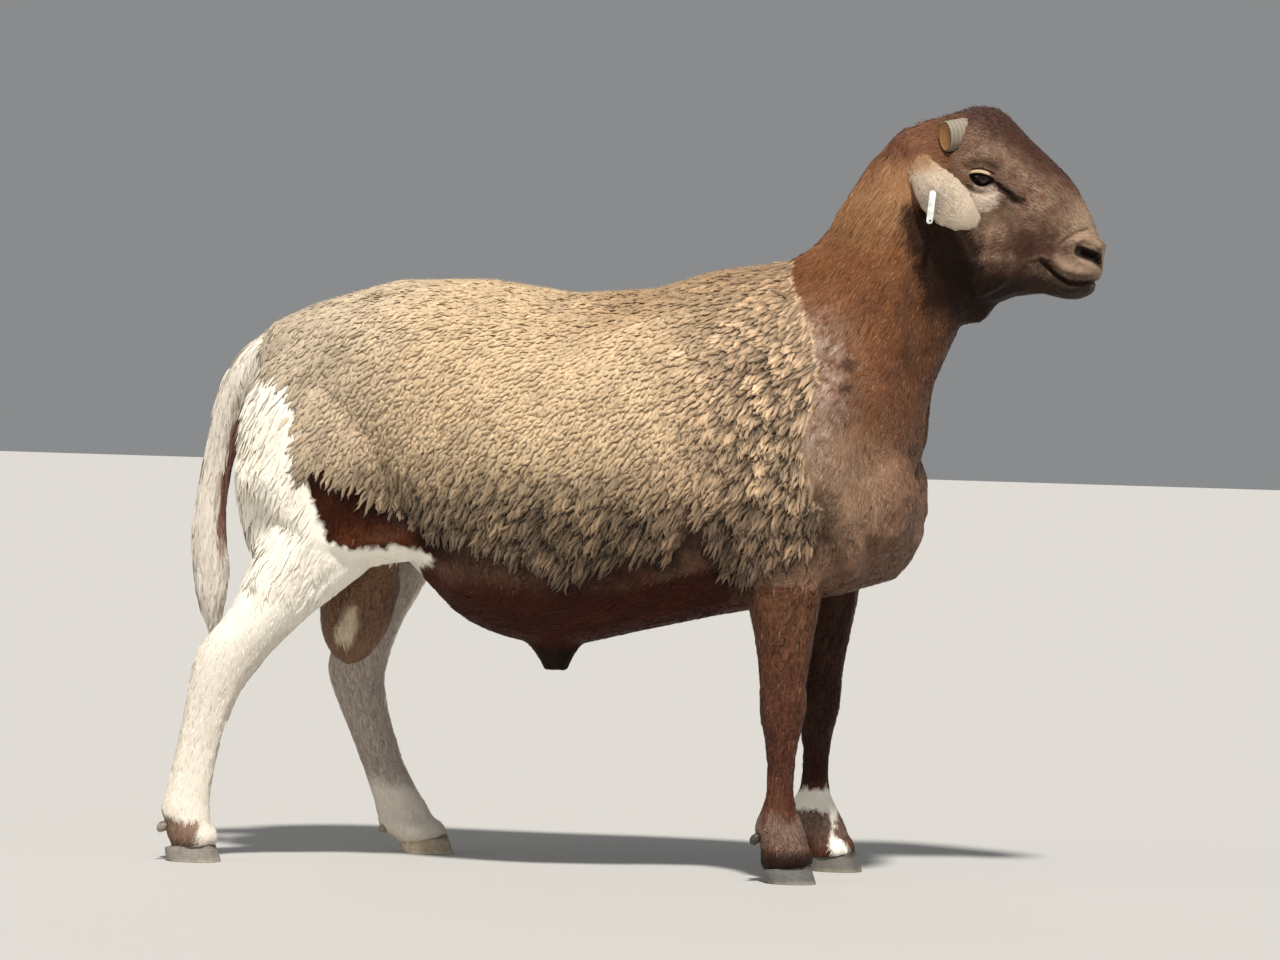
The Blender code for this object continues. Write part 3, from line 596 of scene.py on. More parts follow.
    def _head(self, points: Array, normals: Array) -> Array:
        """Colour the head: grey-brown, dark along the profile, lips and nostrils, pale below the eye, with
        painted shade under the jaw and chin, in the nostrils, the tear groove, the parting of the lips and
        the fold over the eye, and a painted highlight on the cheek.

        Args:
            points: Places on the skin.
            normals: The outward normals there.

        Returns:
            One linear colour per point.
        """
        x, y, z = points.T
        edge = self.ragged(points, 0.0015)
        blotch = self.blotch.at(points)
        nostril = ramp(nostril_distance(points), 0.009, 0.0055) * ramp(np.abs(y), 0.004, 0.009)
        tone = layered(
            self.face,
            (self.face_red, 0.45 * ramp(blotch, -0.6, 1.4)),
            (self.face_pale, 0.2 * ramp(self.patch.at(points) - blotch, 0.6, 2.4)),
            (self.face_pale, 0.76 * ramp(x - 0.3 * (z - 0.75), 0.49, 0.52)),
            (self.face_dark, 0.85 * ramp(z + 0.62 * (x - 0.43) + edge, 0.88, 0.912)),
            (self.face_dark, 0.8 * ramp(x, 0.385, 0.365) * ramp(z, 0.845, 0.865)),
            # Painted highlight on the cheek.
            (self.face_pale, 0.3 * ramp(np.hypot(x - 0.43, z - 0.782), 0.03, 0.01)),
            (self.face_pale, 0.3 * ramp(line_distance(points, JAW_EDGE)[0], 0.013, 0.004)),
            # Painted shade on the lower face.
            (self.face_dark, 0.9 * ramp(z, 0.76, 0.732) * ramp(x, 0.505, 0.48)),
            (self.under_eye, 0.78 * ramp(np.hypot(x - 0.419, z - 0.829) + edge, 0.022, 0.013)),
            (self.face_dark, 0.85 * ramp(np.hypot((x - 0.468) * 0.45, z - 0.772) + 3 * edge, 0.036, 0.008)),
            # Painted shade on the lower lip and chin.
            (self.lips, 0.92 * ramp(z - 0.743 + 0.25 * (x - 0.5), 0, -0.007) * ramp(x, 0.48, 0.505)),
            # Painted shade where the head faces down.
            (self.lips, 0.7 * ramp(-normals[:, 2], 0.25, 0.75)),
            # Dark skin in the tear groove, deepened by painted shade.
            (self.lips, 0.9 * ramp(line_distance(points, TEAR_GROOVE)[0] + edge, 0.0062, 0.0026)),
            # Dark lips, with painted shade in their parting.
            (self.lips, 0.95 * ramp(line_distance(points, MOUTH)[0], 0.0045, 0.0018)),
            # Painted shade inside the nostrils.
            (self.black, 0.95 * nostril))
        for side in Side:
            socket = Socket(side)
            u, v, out = socket.to_local(points).T
            near = (np.hypot(u, v) < 0.026) & (out > 0)
            above = v - socket.upper(u)
            across = ramp(np.abs(u), 0.016, 0.012) * near
            pale = across * ramp(np.abs(above - 0.003), 0.0028, 0.002) * ramp(u, 0.0105, 0.006)
            tone = layered(
                tone,
                # Painted shade in the fold above the upper lid.
                (self.lips, 0.45 * across * ramp(np.abs(above - 0.0064), 0.0014, 0.0006)),
                (self.lid_pale, 0.85 * pale),
                (self.black, near * ramp(socket.gap(u, v), -0.0022, -0.0008)))
        return tone

    def _feet(self, points: Array, labels: Array, tone: Array) -> Array:
        """Add the brown pastern patch, the white sock with its stripe and the dark band over the hooves.

        Args:
            points: Places on the skin.
            labels: The part of the flesh at each.
            tone: The colour so far.

        Returns:
            One linear colour per point.
        """
        x, _, z = points.T
        edge = self.ragged(points, 0.0015)
        patch = ramp(x + edge, -0.501, -0.507) * ramp(z + 0.15 * (x + 0.55) + edge, 0.057, 0.051)
        brown = mix(self.pastern, self.leg_dark, ramp(z, 0.032, 0.02))
        sock = ramp(np.abs(z - SOCK_HEIGHT) + 0.7 * edge, 0.014, 0.0118)
        width = np.interp(z, *np.transpose(STRIPE_WIDTHS))
        stripe = ramp(line_distance(points, SOCK_STRIPE)[0] + 0.6 * edge, width, width - 0.002)
        return layered(
            tone,
            (brown, 0.92 * patch * part_is(labels, "right_hindleg")),
            (self.white, np.maximum(sock, stripe) * part_is(labels, "left_foreleg")),
            (self.black, 0.85 * (ramp(z + edge, 0.044, 0.034) * part_is(labels, "right_foreleg"))))


# ---- The skin ----

EYE_MIDDLE = Vector((0.413, 0.049, 0.8515))
EYE_RADIUS = 0.0145
EYE_PLUG = ((0.4135, 0.0465, 0.851), (0.02, 0.015, 0.0135))  # the middle and half sizes of a left plug
HORN_PLUG = ((0.386, 0.042, 0.902), (0.015, 0.015, 0.018))
FINE_SPOTS = (  # left eye, nostril and corner of the mouth, each with its share of the reach
    ((0.417, 0.061, 0.8505), 1.0), ((0.54, 0.022, 0.757), 1.1), ((0.507, 0.03, 0.745), 0.9))
TEAR_GROOVE = ((430, 847), (439, 839), (449, 831), (458, 824), (464, 825))
MOUTH = ((487, 755), (495, 748), (505, 738), (521, 729), (536, 729), (562, 733))
NOSTRIL = ((533, 767.5), (541, 764.5), (550, 761.5), (560, 755))
NOSTRIL_SLANT = 0.55
SOCK_HEIGHT = 0.087
SOCK_STRIPE = ((243, 82), (242, 62), (244, 46), (251, 32), (255, 22))
STRIPE_WIDTHS = ((0.02, 0.011), (0.036, 0.01), (0.048, 0.0028), (0.06, 0.0022), (0.08, 0.007))
NECK_SPOTS = ((0.266, 0.622), (0.265, 0.596))
FLANK_FOLD = ((-330, 403), (-295, 402), (-255, 397))
# The line of the painted shadow below the ear.
EAR_SHADOW_LINE = ((358, 800), (376, 765), (386, 715), (382, 650))
# The line of the painted shade under the jaw.
UNDER_JAW = ((398, 738), (422, 722), (455, 712))
JAW_EDGE = ((425, 764), (450, 754), (482, 746))


@dataclass(frozen=True)
class Stroke:
    """A fold or groove pressed into the skin along a line seen from the side, in millimetres."""

    line: Sequence[Point]  # its (x, z) corners
    width: float  # the half width
    height: float  # how far it stands out, or in if below zero
    off: float = 0  # the least distance from the middle plane
    parts: Sequence[str] = ("head",)  # the parts of the flesh that it shapes
    slant: float = 0  # how far the line falls towards the middle plane, as a share of the way there

    def heights(self, points: Array, labels: Array) -> Array:
        """Give how far the stroke moves each point along its normal, in metres.

        Args:
            points: Places on the skin.
            labels: The part of the flesh at each.

        Returns:
            One height per point.
        """
        width, line = self.width / 1000, np.array(self.line) / 1000
        held = part_is(labels, *self.parts) & (np.abs(points[:, 1]) >= self.off / 1000)
        spot = points[:, (0, 2)]
        held &= ((spot > line.min(0) - 4 * width) & (spot < line.max(0) + 4 * width)).all(1)
        moved = np.zeros(len(points))
        chosen = np.flatnonzero(held)
        if len(chosen):
            distance, share = line_distance(slanted(points[chosen], self.slant), self.line)
            ends = ramp(share, 0, 0.15) * ramp(share, 1, 0.85)
            moved[chosen] = self.height / 1000 * np.exp(-(distance / width) ** 2) * (0.25 + 0.75 * ends)
        return moved


def slanted(points: Array, slant: float) -> Array:
    """Raise points beside the middle plane, so that a line found there falls towards it by the slant."""
    return points + np.outer(slant * np.clip(0.02 - np.abs(points[:, 1]), 0, None), (0, 0, 1))


def nostril_distance(points: Array) -> Array:
    """Give the distance from the middle of a nostril, which falls and narrows towards the middle plane."""
    distance, _ = line_distance(slanted(points, NOSTRIL_SLANT), NOSTRIL)
    return distance / (0.55 + 0.45 * ramp(np.abs(points[:, 1]), 0.005, 0.019))


FACE_STROKES = (
    Stroke(MOUTH, 2.2, -5),
    Stroke(((485, 764), (500, 757), (514, 747), (532, 741), (556, 743)), 6, 3.2),
    Stroke(((490, 741), (503, 727), (520, 719), (545, 722)), 5.5, 2.4),
    Stroke(((475, 755), (487, 760), (495, 756)), 2.5, 2.2),
    Stroke(NOSTRIL, 4.2, -11, 6, slant=NOSTRIL_SLANT),
    Stroke(((524, 776), (535, 782), (548, 780), (560, 770)), 4.2, 4.4, 6),
    Stroke(((530, 757), (541, 751), (553, 746)), 3.5, 1.5, 6),
    Stroke(((508, 772), (518, 782), (531, 790), (545, 795)), 2.6, -3, 10),
    Stroke(((500, 777), (511, 788), (524, 798)), 3, -1.2, 12),
    Stroke(TEAR_GROOVE, 3.3, -4.8),
    Stroke(((450, 829), (458, 822)), 4.8, -3),
    Stroke(((436, 832), (446, 824), (458, 816)), 6, 2),
    Stroke(((390, 866), (400, 876), (413, 880), (428, 875), (441, 862)), 7.5, 3.2),
    Stroke(((393, 842), (406, 833), (422, 831), (434, 836)), 4, -1.6),
    Stroke(((465, 802), (480, 793), (497, 785)), 10, -3),
    Stroke(((395, 800), (402, 770), (418, 745), (440, 730)), 12, -3),
    Stroke(((420, 790), (432, 765), (452, 748)), 16, 3.4),
    Stroke(((405, 712), (416, 709), (427, 708)), 6, 3, parts=("head", "neck")),
)
LEG_STROKES = (
    Stroke(((190, 180), (188, 130), (187, 85)), 4.8, -2.6, parts=("right_foreleg",)),
    Stroke(((209, 180), (207, 130), (206, 90)), 4.8, -2.6, parts=("left_foreleg",)),
    Stroke(((216, 232), (218, 205)), 10, 2.2, parts=FORELEGS),
    Stroke(((-505, 205), (-517, 145), (-530, 85)), 4.8, -2.6, parts=("right_hindleg",)),
    Stroke(((-374, 200), (-351, 135), (-326, 80)), 4.8, -2.6, parts=("left_hindleg",)),
    Stroke(((-480, 275), (-464, 305), (-448, 335)), 10, -5, 30, parts=("right_hindleg",)),
    Stroke(((-356, 262), (-338, 300)), 9, -4.5, 30, parts=("left_hindleg",)),
    Stroke(((200, 52), (206, 34)), 5, -2, parts=("right_foreleg",)),
    Stroke(((232, 56), (238, 36)), 5, -2, parts=("left_foreleg",)),
)
BODY_STROKES = (
    Stroke(((247, 420), (258, 390), (262, 352)), 10, -5, 50, parts=("trunk", *FORELEGS)),
    Stroke(((262, 560), (285, 520), (300, 480)), 16, -5, 50, parts=("trunk", "neck")),
    Stroke(((300, 600), (330, 560), (345, 520)), 20, 4, 20, parts=("trunk", "neck")),
    Stroke(((290, 440), (300, 400), (295, 365)), 7, -4.5, 30, parts=("trunk",)),
    Stroke(((318, 450), (324, 415), (312, 375)), 9, -4, 20, parts=("trunk",)),
    Stroke(((276, 450), (282, 405), (278, 360)), 8, 3, 30, parts=("trunk",)),
    Stroke(((330, 700), (345, 665), (350, 620)), 10, -3, parts=("neck",)),
    Stroke(((306, 904), (318, 917), (334, 921)), 13, -4.5, parts=("neck", "head")),
    Stroke(((225, 795), (255, 842), (288, 884)), 24, 4, parts=("neck",)),
    Stroke(((300, 740), (318, 690), (328, 630)), 14, 3, parts=("neck",)),
    Stroke(((-360, 392), (-327, 386), (-266, 394), (-228, 378)), 6, 4.5, 30, parts=("trunk", *HINDLEGS)),
    Stroke(((-345, 374), (-310, 368), (-270, 374)), 7, -4, 30, parts=("trunk", *HINDLEGS)),
)


class Surface:
    """A triangle mesh as arrays, with the nearest place on it to any point."""

    def __init__(self, points: Array, faces: Array) -> None:
        """Keep the mesh.

        Args:
            points: One row per vertex.
            faces: Three vertex numbers per row.
        """
        self.points = points.astype(np.float64)
        self.faces = faces
        self.tree = BVHTree.FromPolygons(self.points.tolist(), faces.tolist())
        first, second, third = (self.points[faces[:, i]] for i in range(3))
        self.areas = np.linalg.norm(np.cross(second - first, third - first), axis=1) / 2

    def nearest(self, points: Array) -> tuple[Array, Array]:
        """Give the nearest place on the mesh to each point, and the face that it lies on."""
        spots, _, faces, _ = zip(*map(self.tree.find_nearest, points.tolist()))
        return np.array(spots), np.array(faces)

    def across(self, values: Array, places: Array, faces: Array) -> Array:
        """Read vertex values at places on the mesh.

        Args:
            values: One number or row per vertex.
            places: Points on the mesh.
            faces: The face that each lies on.

        Returns:
            The values there, weighted towards the nearest corners.
        """
        corners = self.faces[faces]
        gap = np.linalg.norm(self.points[corners] - places[:, None], axis=2)
        weight = 1 / (gap + 1e-5)
        weight /= weight.sum(1, keepdims=True)
        held = values[corners]
        return (held * (weight[..., None] if held.ndim == 3 else weight)).sum(1)

    def scatter(self, count: int, chance: np.random.Generator) -> tuple[Array, Array]:
        """Drop points on the mesh at random, evenly by area.

        Args:
            count: How many points.
            chance: The seeded source of random numbers.

        Returns:
            The points, and the face that each lies on.
        """
        faces = chance.choice(len(self.faces), count, p=self.areas / self.areas.sum())
        share = chance.random((2, count))
        first, second = np.where(share.sum(0) > 1, 1 - share, share)[..., None]
        corner, left, right = self.points[self.faces[faces]].transpose(1, 0, 2)
        return corner + first * (left - corner) + second * (right - corner), faces


def spread(values: Array, edges: Array, rounds: int, weight: Number = 1.0,
           steps: Sequence[float] = (0.5,)) -> Array:
    """Even out vertex values over a mesh.

    Args:
        values: One row per vertex.
        edges: Two vertex numbers per row.
        rounds: How many times each step is taken.
        weight: How much each vertex follows, from 0 to 1.
        steps: Shares of the way to the mean of the neighbours; a step below zero keeps the volume.

    Returns:
        The evened values.
    """
    size = len(values)
    values = values.reshape(size, -1).astype(np.float64)
    both = np.concatenate((edges, edges[:, ::-1]))
    count = np.maximum(np.bincount(both[:, 0], minlength=size), 1)[:, None]
    weight = np.broadcast_to(np.asarray(weight, float).reshape(-1, 1), (size, 1))
    for step in tuple(steps) * rounds:
        total = np.stack([np.bincount(both[:, 0], column[both[:, 1]], size) for column in values.T], 1)
        values = values + step * weight * (total / count - values)
    return values


@dataclass
class Skin:
    """The one skin of the ram, with its folds, lids, nostrils and mouth."""

    voxel: float = 0.0026
    swell: float = 0.0004  # closes the gaps between the solids
    kept: float = 0.185  # the share of faces kept, fewest under the fleece
    wool_depth: float = 0.0021
    lock_depth: float = 0.0095  # on the shoulder and along the hem, where the wool hangs in locks
    shaggy_depth: float = 0.0018
    hair_depth: float = 0.0012
    face_depth: float = 0.0006
    lid: float = 0.0017  # the thickness of the eyelids
    lid_curve: float = 0.03  # the lids are flatter than the ball
    softness: Triple = (0.75, 0.6, 0.4)  # how far legs, head and ears are rounded off, against the trunk
    pasterns: Point = (0.0068, 0.0042)  # how far hind and fore pasterns swell over the hooves
    markings: Markings = field(default_factory=Markings)

    def build(self) -> Object:
        """Make the skin.

        Returns:
            The skin, with its colours and the lie of its coat.
        """
        self.solids = self._solids()
        mesh = self._refined(self._thinned(self._softened(self._joined())))
        points = numbers(mesh.vertices, "co")
        self.edges = numbers(mesh.edges, "vertices", 2)
        self.labels = self.label(points)
        normals = self._normals(mesh, points)
        self.depths = self._depths(points)
        points = points - normals * (self.depths + self.swell)[:, None]
        normals = self._normals(mesh, points)
        self.lie = Lie(self).directions(points, normals)
        points = self._sculpted(points, normals)
        self.normals = self._normals(mesh, points)
        faces = np.array([list(face.vertices) for face in mesh.polygons], np.int32)
        self.surface = Surface(points, faces)
        # The coat's colours, with painted shade on the skin under the wool.
        paint(mesh, self.markings.colours(points, self.normals, self.labels) * self._shade(points)[:, None])
        layer = mesh.attributes.new(LIE_LAYER, "FLOAT_VECTOR", "POINT")
        layer.data.foreach_set("vector", self.lie.astype(np.float32).ravel())
        mesh.name = "skin"
        return show("skin", mesh)

    def _solids(self) -> Surface:
        """Put the solids of flesh into one surface whose faces know their part."""
        points, faces, part = [], [], []
        for label, name in enumerate(FLESH):
            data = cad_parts[name].data
            data.calc_loop_triangles()
            start = sum(len(rows) for rows in points)
            points.append(numbers(data.vertices, "co"))
            faces.append(numbers(data.loop_triangles, "vertices") + start)
            part.append(np.full(len(faces[-1]), label))
        self.face_part = np.concatenate(part)
        return Surface(np.concatenate(points), np.concatenate(faces))

    def label(self, points: Array) -> Array:
        """Say which part of the flesh each point belongs to."""
        return self.face_part[self.solids.nearest(points)[1]]

    def _joined(self) -> Mesh:
        """Join swollen copies of the solids, with plugs in the sockets of eyes and horns."""
        whole = bmesh.new()
        for name in FLESH:
            copy = node_copy(name)
            for vertex in copy.verts:
                vertex.co += vertex.normal * self.swell
            held = bpy.data.meshes.new("held")
            copy.to_mesh(held)
            copy.free()
            whole.from_mesh(held)
            bpy.data.meshes.remove(held)
        for side in Side:
            for (x, y, z), size in (EYE_PLUG, HORN_PLUG):
                place = Matrix.Translation((x, side.value * y, z)) @ Matrix.Diagonal((*size, 1.0))
                bmesh.ops.create_icosphere(whole, subdivisions=3, radius=1.0, matrix=place)
        rough = show("rough_skin", whole)
        join = rough.modifiers.new("join", "REMESH")
        join.mode = "VOXEL"
        join.voxel_size = self.voxel * 1.0
        return applied(rough)

    def _softened(self, mesh: Mesh) -> Mesh:
        """Round off the facets of the solids, least on the head, legs and ears.

        Args:
            mesh: The joined solids.

        Returns:
            The same mesh, softened.
        """
        points = numbers(mesh.vertices, "co")
        labels = self.label(points)
        weight = np.ones(len(points))
        for names, share in zip((FORELEGS + HINDLEGS, ("head",), EARS), self.softness):
            weight[part_is(labels, *names)] = share
        edges = numbers(mesh.edges, "vertices", 2)
        weight = spread(weight, edges, 6)
        points = spread(points, edges, 28, weight, (0.6, -0.62))
        mesh.vertices.foreach_set("co", points.astype(np.float32).ravel())
        mesh.update()
        return mesh

    def _thinned(self, mesh: Mesh) -> Mesh:
        """Thin out the faces where fleece hides them.

        Args:
            mesh: The softened skin.

        Returns:
            A mesh with fewer faces.
        """
        points = numbers(mesh.vertices, "co")
        labels = self.label(points)
        rough = show("dense_skin", mesh)
        group = rough.vertex_groups.new(name="coarse")
        weight = np.where(self.markings.fleece_by(points, labels) > 0.01, 1.0, 0.5)
        weight = np.where(part_is(labels, "head", *EARS), 0.12, weight)
        for value in np.unique(weight):
            group.add(np.flatnonzero(weight == value).tolist(), float(value), "REPLACE")
        thin = rough.modifiers.new("thin", "DECIMATE")
        thin.ratio = self.kept * 1.0
        thin.vertex_group = "coarse"
        thin.vertex_group_factor = 1.0
        return applied(rough)

    def _refined(self, mesh: Mesh) -> Mesh:
        """Cut the faces smaller round the eyes, nostrils and mouth.

        Args:
            mesh: The thinned skin.

        Returns:
            The same mesh, refined.
        """
        fine = bmesh.new()
        fine.from_mesh(mesh)
        bmesh.ops.triangulate(fine, faces=fine.faces)
        for finest, radius in ((0.0016, 0.036), (0.0008, 0.024)):
            spots = [(Vector((x, side.value * y, z)), radius * share)
                     for (x, y, z), share in FINE_SPOTS for side in Side]
            near = [edge for edge in fine.edges if edge.calc_length() > finest
                    and any((edge.verts[0].co - spot).length < reach for spot, reach in spots)]
            bmesh.ops.subdivide_edges(fine, edges=near, cuts=1, use_grid_fill=True)
            bmesh.ops.triangulate(fine, faces=[face for face in fine.faces if len(face.verts) > 3])
        fine.to_mesh(mesh)
        fine.free()
        return mesh

    @staticmethod
    def _normals(mesh: Mesh, points: Array) -> Array:
        """Move the mesh's vertices to new points and give their normals."""
        mesh.vertices.foreach_set("co", points.astype(np.float32).ravel())
        mesh.update()
        return numbers(mesh.vertices, "normal")

    def _depths(self, points: Array) -> Array:
        """Give how far the skin lies inside the solids, by the depth of the coat.

        Args:
            points: The skin's vertices.

        Returns:
            One depth per vertex.
        """
        inside = ramp(self.markings.fleece_by(points, self.labels), -0.004, 0.02)
        wool = inside * mix(self.wool_depth, self.lock_depth, self.markings.locks(points))
        long = self.markings.shaggy(points, self.labels)
        short = np.where(part_is(self.labels, "head", *EARS), self.face_depth, self.hair_depth)
        depth = np.maximum(short, np.maximum(wool, long * self.shaggy_depth))
        return spread(depth, self.edges, 10)[:, 0]

    def _shade(self, points: Array) -> Array:
        """Paint shade on the skin where wool stands on it, most where it hangs in locks."""
        wool = ramp(self.markings.fleece_by(points, self.labels), 0.0, 0.01)
        return 1 - wool * (0.04 + 0.8 * self.markings.locks(points))

    def _sculpted(self, points: Array, normals: Array) -> Array:
        """Press in the folds and grooves, and lay the lids over the eyes.

        Args:
            points: The skin's vertices.
            normals: Their normals.

        Returns:
            The moved vertices.
        """
        even = spread(normals, self.edges, 4)
        moved = np.where(points[:, 0] < 0, *self.pasterns) * ramp(points[:, 2], 0.048, 0.031)
        moved = moved * is_leg(self.labels)
        for stroke in FACE_STROKES + LEG_STROKES + BODY_STROKES:
            moved += stroke.heights(points, self.labels)
        points = points + even * moved[:, None]
        head = part_is(self.labels, "head").astype(float)
        points = spread(points, self.edges, 1, 0.5 * head, (0.5,))
        for side in Side:
            points = self._lids(points, side)
        return points

    def _lids(self, points: Array, side: Side) -> Array:
        """Lay the lids of one eye over its ball, and open them.

        Args:
            points: The skin's vertices.
            side: The ram's side.

        Returns:
            The moved vertices.
        """
        socket = Socket(side)
        local = socket.to_local(points)
        u, v, out = local.T
        near = part_is(self.labels, "head") & (np.hypot(u, v) < 0.034) & (out > -0.01)
        lid = EYE_RADIUS + self.lid - (u ** 2 + v ** 2) / (2 * self.lid_curve)
        lidded = ramp(np.hypot(u / 0.02, v / 0.015), 1.35, 0.85)
        height = out + np.maximum(lid - out, -0.0005) * lidded
        above = v - socket.upper(u)
        across = ramp(np.abs(u), 0.0165, 0.012)
        height = height - 0.002 * across * np.exp(-((above - 0.0056) / 0.0011) ** 2)
        height = height + 0.0014 * across * ramp(np.abs(above - 0.0022), 0.003, 0.0018)
        ball = np.sqrt(np.maximum(EYE_RADIUS ** 2 - u ** 2 - v ** 2, 0.0))
        height = np.where(socket.gap(u, v) > 0, np.maximum(ball - 0.0045, lid - 0.0042), height)
        local[:, 2] = np.where(near, height, out)
        return np.where(near[:, None], socket.to_frame(local), points)


class Socket:
    """The setting of one eye: u runs along the lids towards the nose, v up and out away from the head."""

    half_length = 0.0152
    upper_rise = 0.004
    lower_drop = 0.0094
    lean = math.radians(10)

    def __init__(self, side: Side) -> None:
        """Set up the directions on one side of the head."""
        self.middle = np.array((EYE_MIDDLE.x, side.value * EYE_MIDDLE.y, EYE_MIDDLE.z))
        out = unit(np.array((0.12, side.value * 1.0, 0.06)))
        along = flat_on(np.array((math.cos(self.lean), 0.0, -math.sin(self.lean))), out)
        up = np.cross(out, along)
        up = up * np.sign(up[2])
        self.axes = np.stack((along, up, out))

    def to_local(self, points: Array) -> Array:
        """Turn frame points to u, v and out."""
        return (points - self.middle) @ self.axes.T

    def to_frame(self, local: Array) -> Array:
        """Turn u, v and out to frame points."""
        return local @ self.axes + self.middle

    def _arch(self, u: Array, rise: float, roundness: float) -> Array:
        """Give the height of a lid's edge."""
        return rise * np.clip(1 - (u / self.half_length) ** 2, 0, 1) ** roundness - 0.0006

    def upper(self, u: Array) -> Array:
        """Give the height of the upper lid's edge."""
        return self._arch(u, self.upper_rise, 0.75)

    def gap(self, u: Array, v: Array) -> Array:
        """Give how far a point is inside the opening between the lids."""
        inside = np.minimum(self.upper(u) - v, v - self._arch(u, -self.lower_drop, 0.9))
        return np.where(np.abs(u) < self.half_length, inside, -1.0)


class Lie:
    """Which way the coat lies."""

    def __init__(self, skin: Skin) -> None:
        """Keep the skin that the coat lies on."""
        self.skin = skin

    def directions(self, points: Array, normals: Array) -> Array:
        """Give the direction of the hair at each vertex of the skin.

        Args:
            points: The vertices.
            normals: Their normals.

        Returns:
            Unit vectors along the skin.
        """
        labels = self.skin.labels
        x, _, z = points.T
        slope = np.interp(normals[:, 2], (-0.5, 0.0, 0.5, 0.95), (72, 52, 36, 6))
        slope = np.radians(slope + 16 * ramp(x, 0.05, 0.2) + 12 * ramp(x, -0.3, -0.42))
        way = np.stack((-np.cos(slope), np.zeros_like(slope), -np.sin(slope)), 1)
        belly = ramp(-normals[:, 2], 0.55, 0.85) * ramp(z, 0.42, 0.38)
        shaggy = self.skin.markings.shaggy(points, labels)
        way = layered(way, ((-1, 0, 0), belly), ((-0.1, 0, -1), ramp(x, 0.26, 0.3)),
                      ((-0.4, 0, -1), shaggy))
        rules = {
            "neck": (-0.5, 0, -0.85), "tail": (0, 0, -1), "scrotum": (0, 0, -1), "sheath": (0.3, 0, -1),
            "right_foreleg": (-0.1, 0, -1), "left_foreleg": (-0.1, 0, -1),
            "right_hindleg": (-0.15, 0, -1), "left_hindleg": (0.05, 0, -1),
            "right_ear": (0.62, -0.25, -0.6), "left_ear": (0.62, 0.25, -0.6),
        }
        for name, direction in rules.items():
            way[part_is(labels, name) & ((shaggy < 0.5) | (name not in FORELEGS + HINDLEGS))] = direction
        head = part_is(labels, "head")
        way[head] = self._on_head(points)[head]
        way = flat_on(way, normals)
        for _ in range(6):
            way = flat_on(spread(way, self.skin.edges, 4), normals)
        return way

    @staticmethod
    def _on_head(points: Array) -> Array:
        """Give the lie on the face: back and up from the nose, back and down over the cheeks."""
        x, _, z = points.T
        low = ramp(z + 0.5 * (x - 0.43), 0.83, 0.79)
        lips = ramp(x, 0.49, 0.52) * ramp(z, 0.765, 0.745)
        return layered(np.array((-0.85, 0, 0.25)), ((-0.8, 0, -0.55), low), ((-0.5, 0, -0.8), lips))


# ---- The coat ----

class Profile(Enum):
    """How a tuft's width goes from root to tip: (share of length, share of width)."""

    POINTED = ((0.0, 0.5), (0.22, 1.0), (0.55, 0.88), (0.82, 0.48), (1.0, 0.1))
    LOCK = ((0.0, 0.6), (0.3, 1.0), (0.6, 0.92), (0.8, 0.6), (1.0, 0.1))
    HAIR = ((0.0, 0.7), (0.3, 1.0), (0.7, 0.6), (1.0, 0.1))


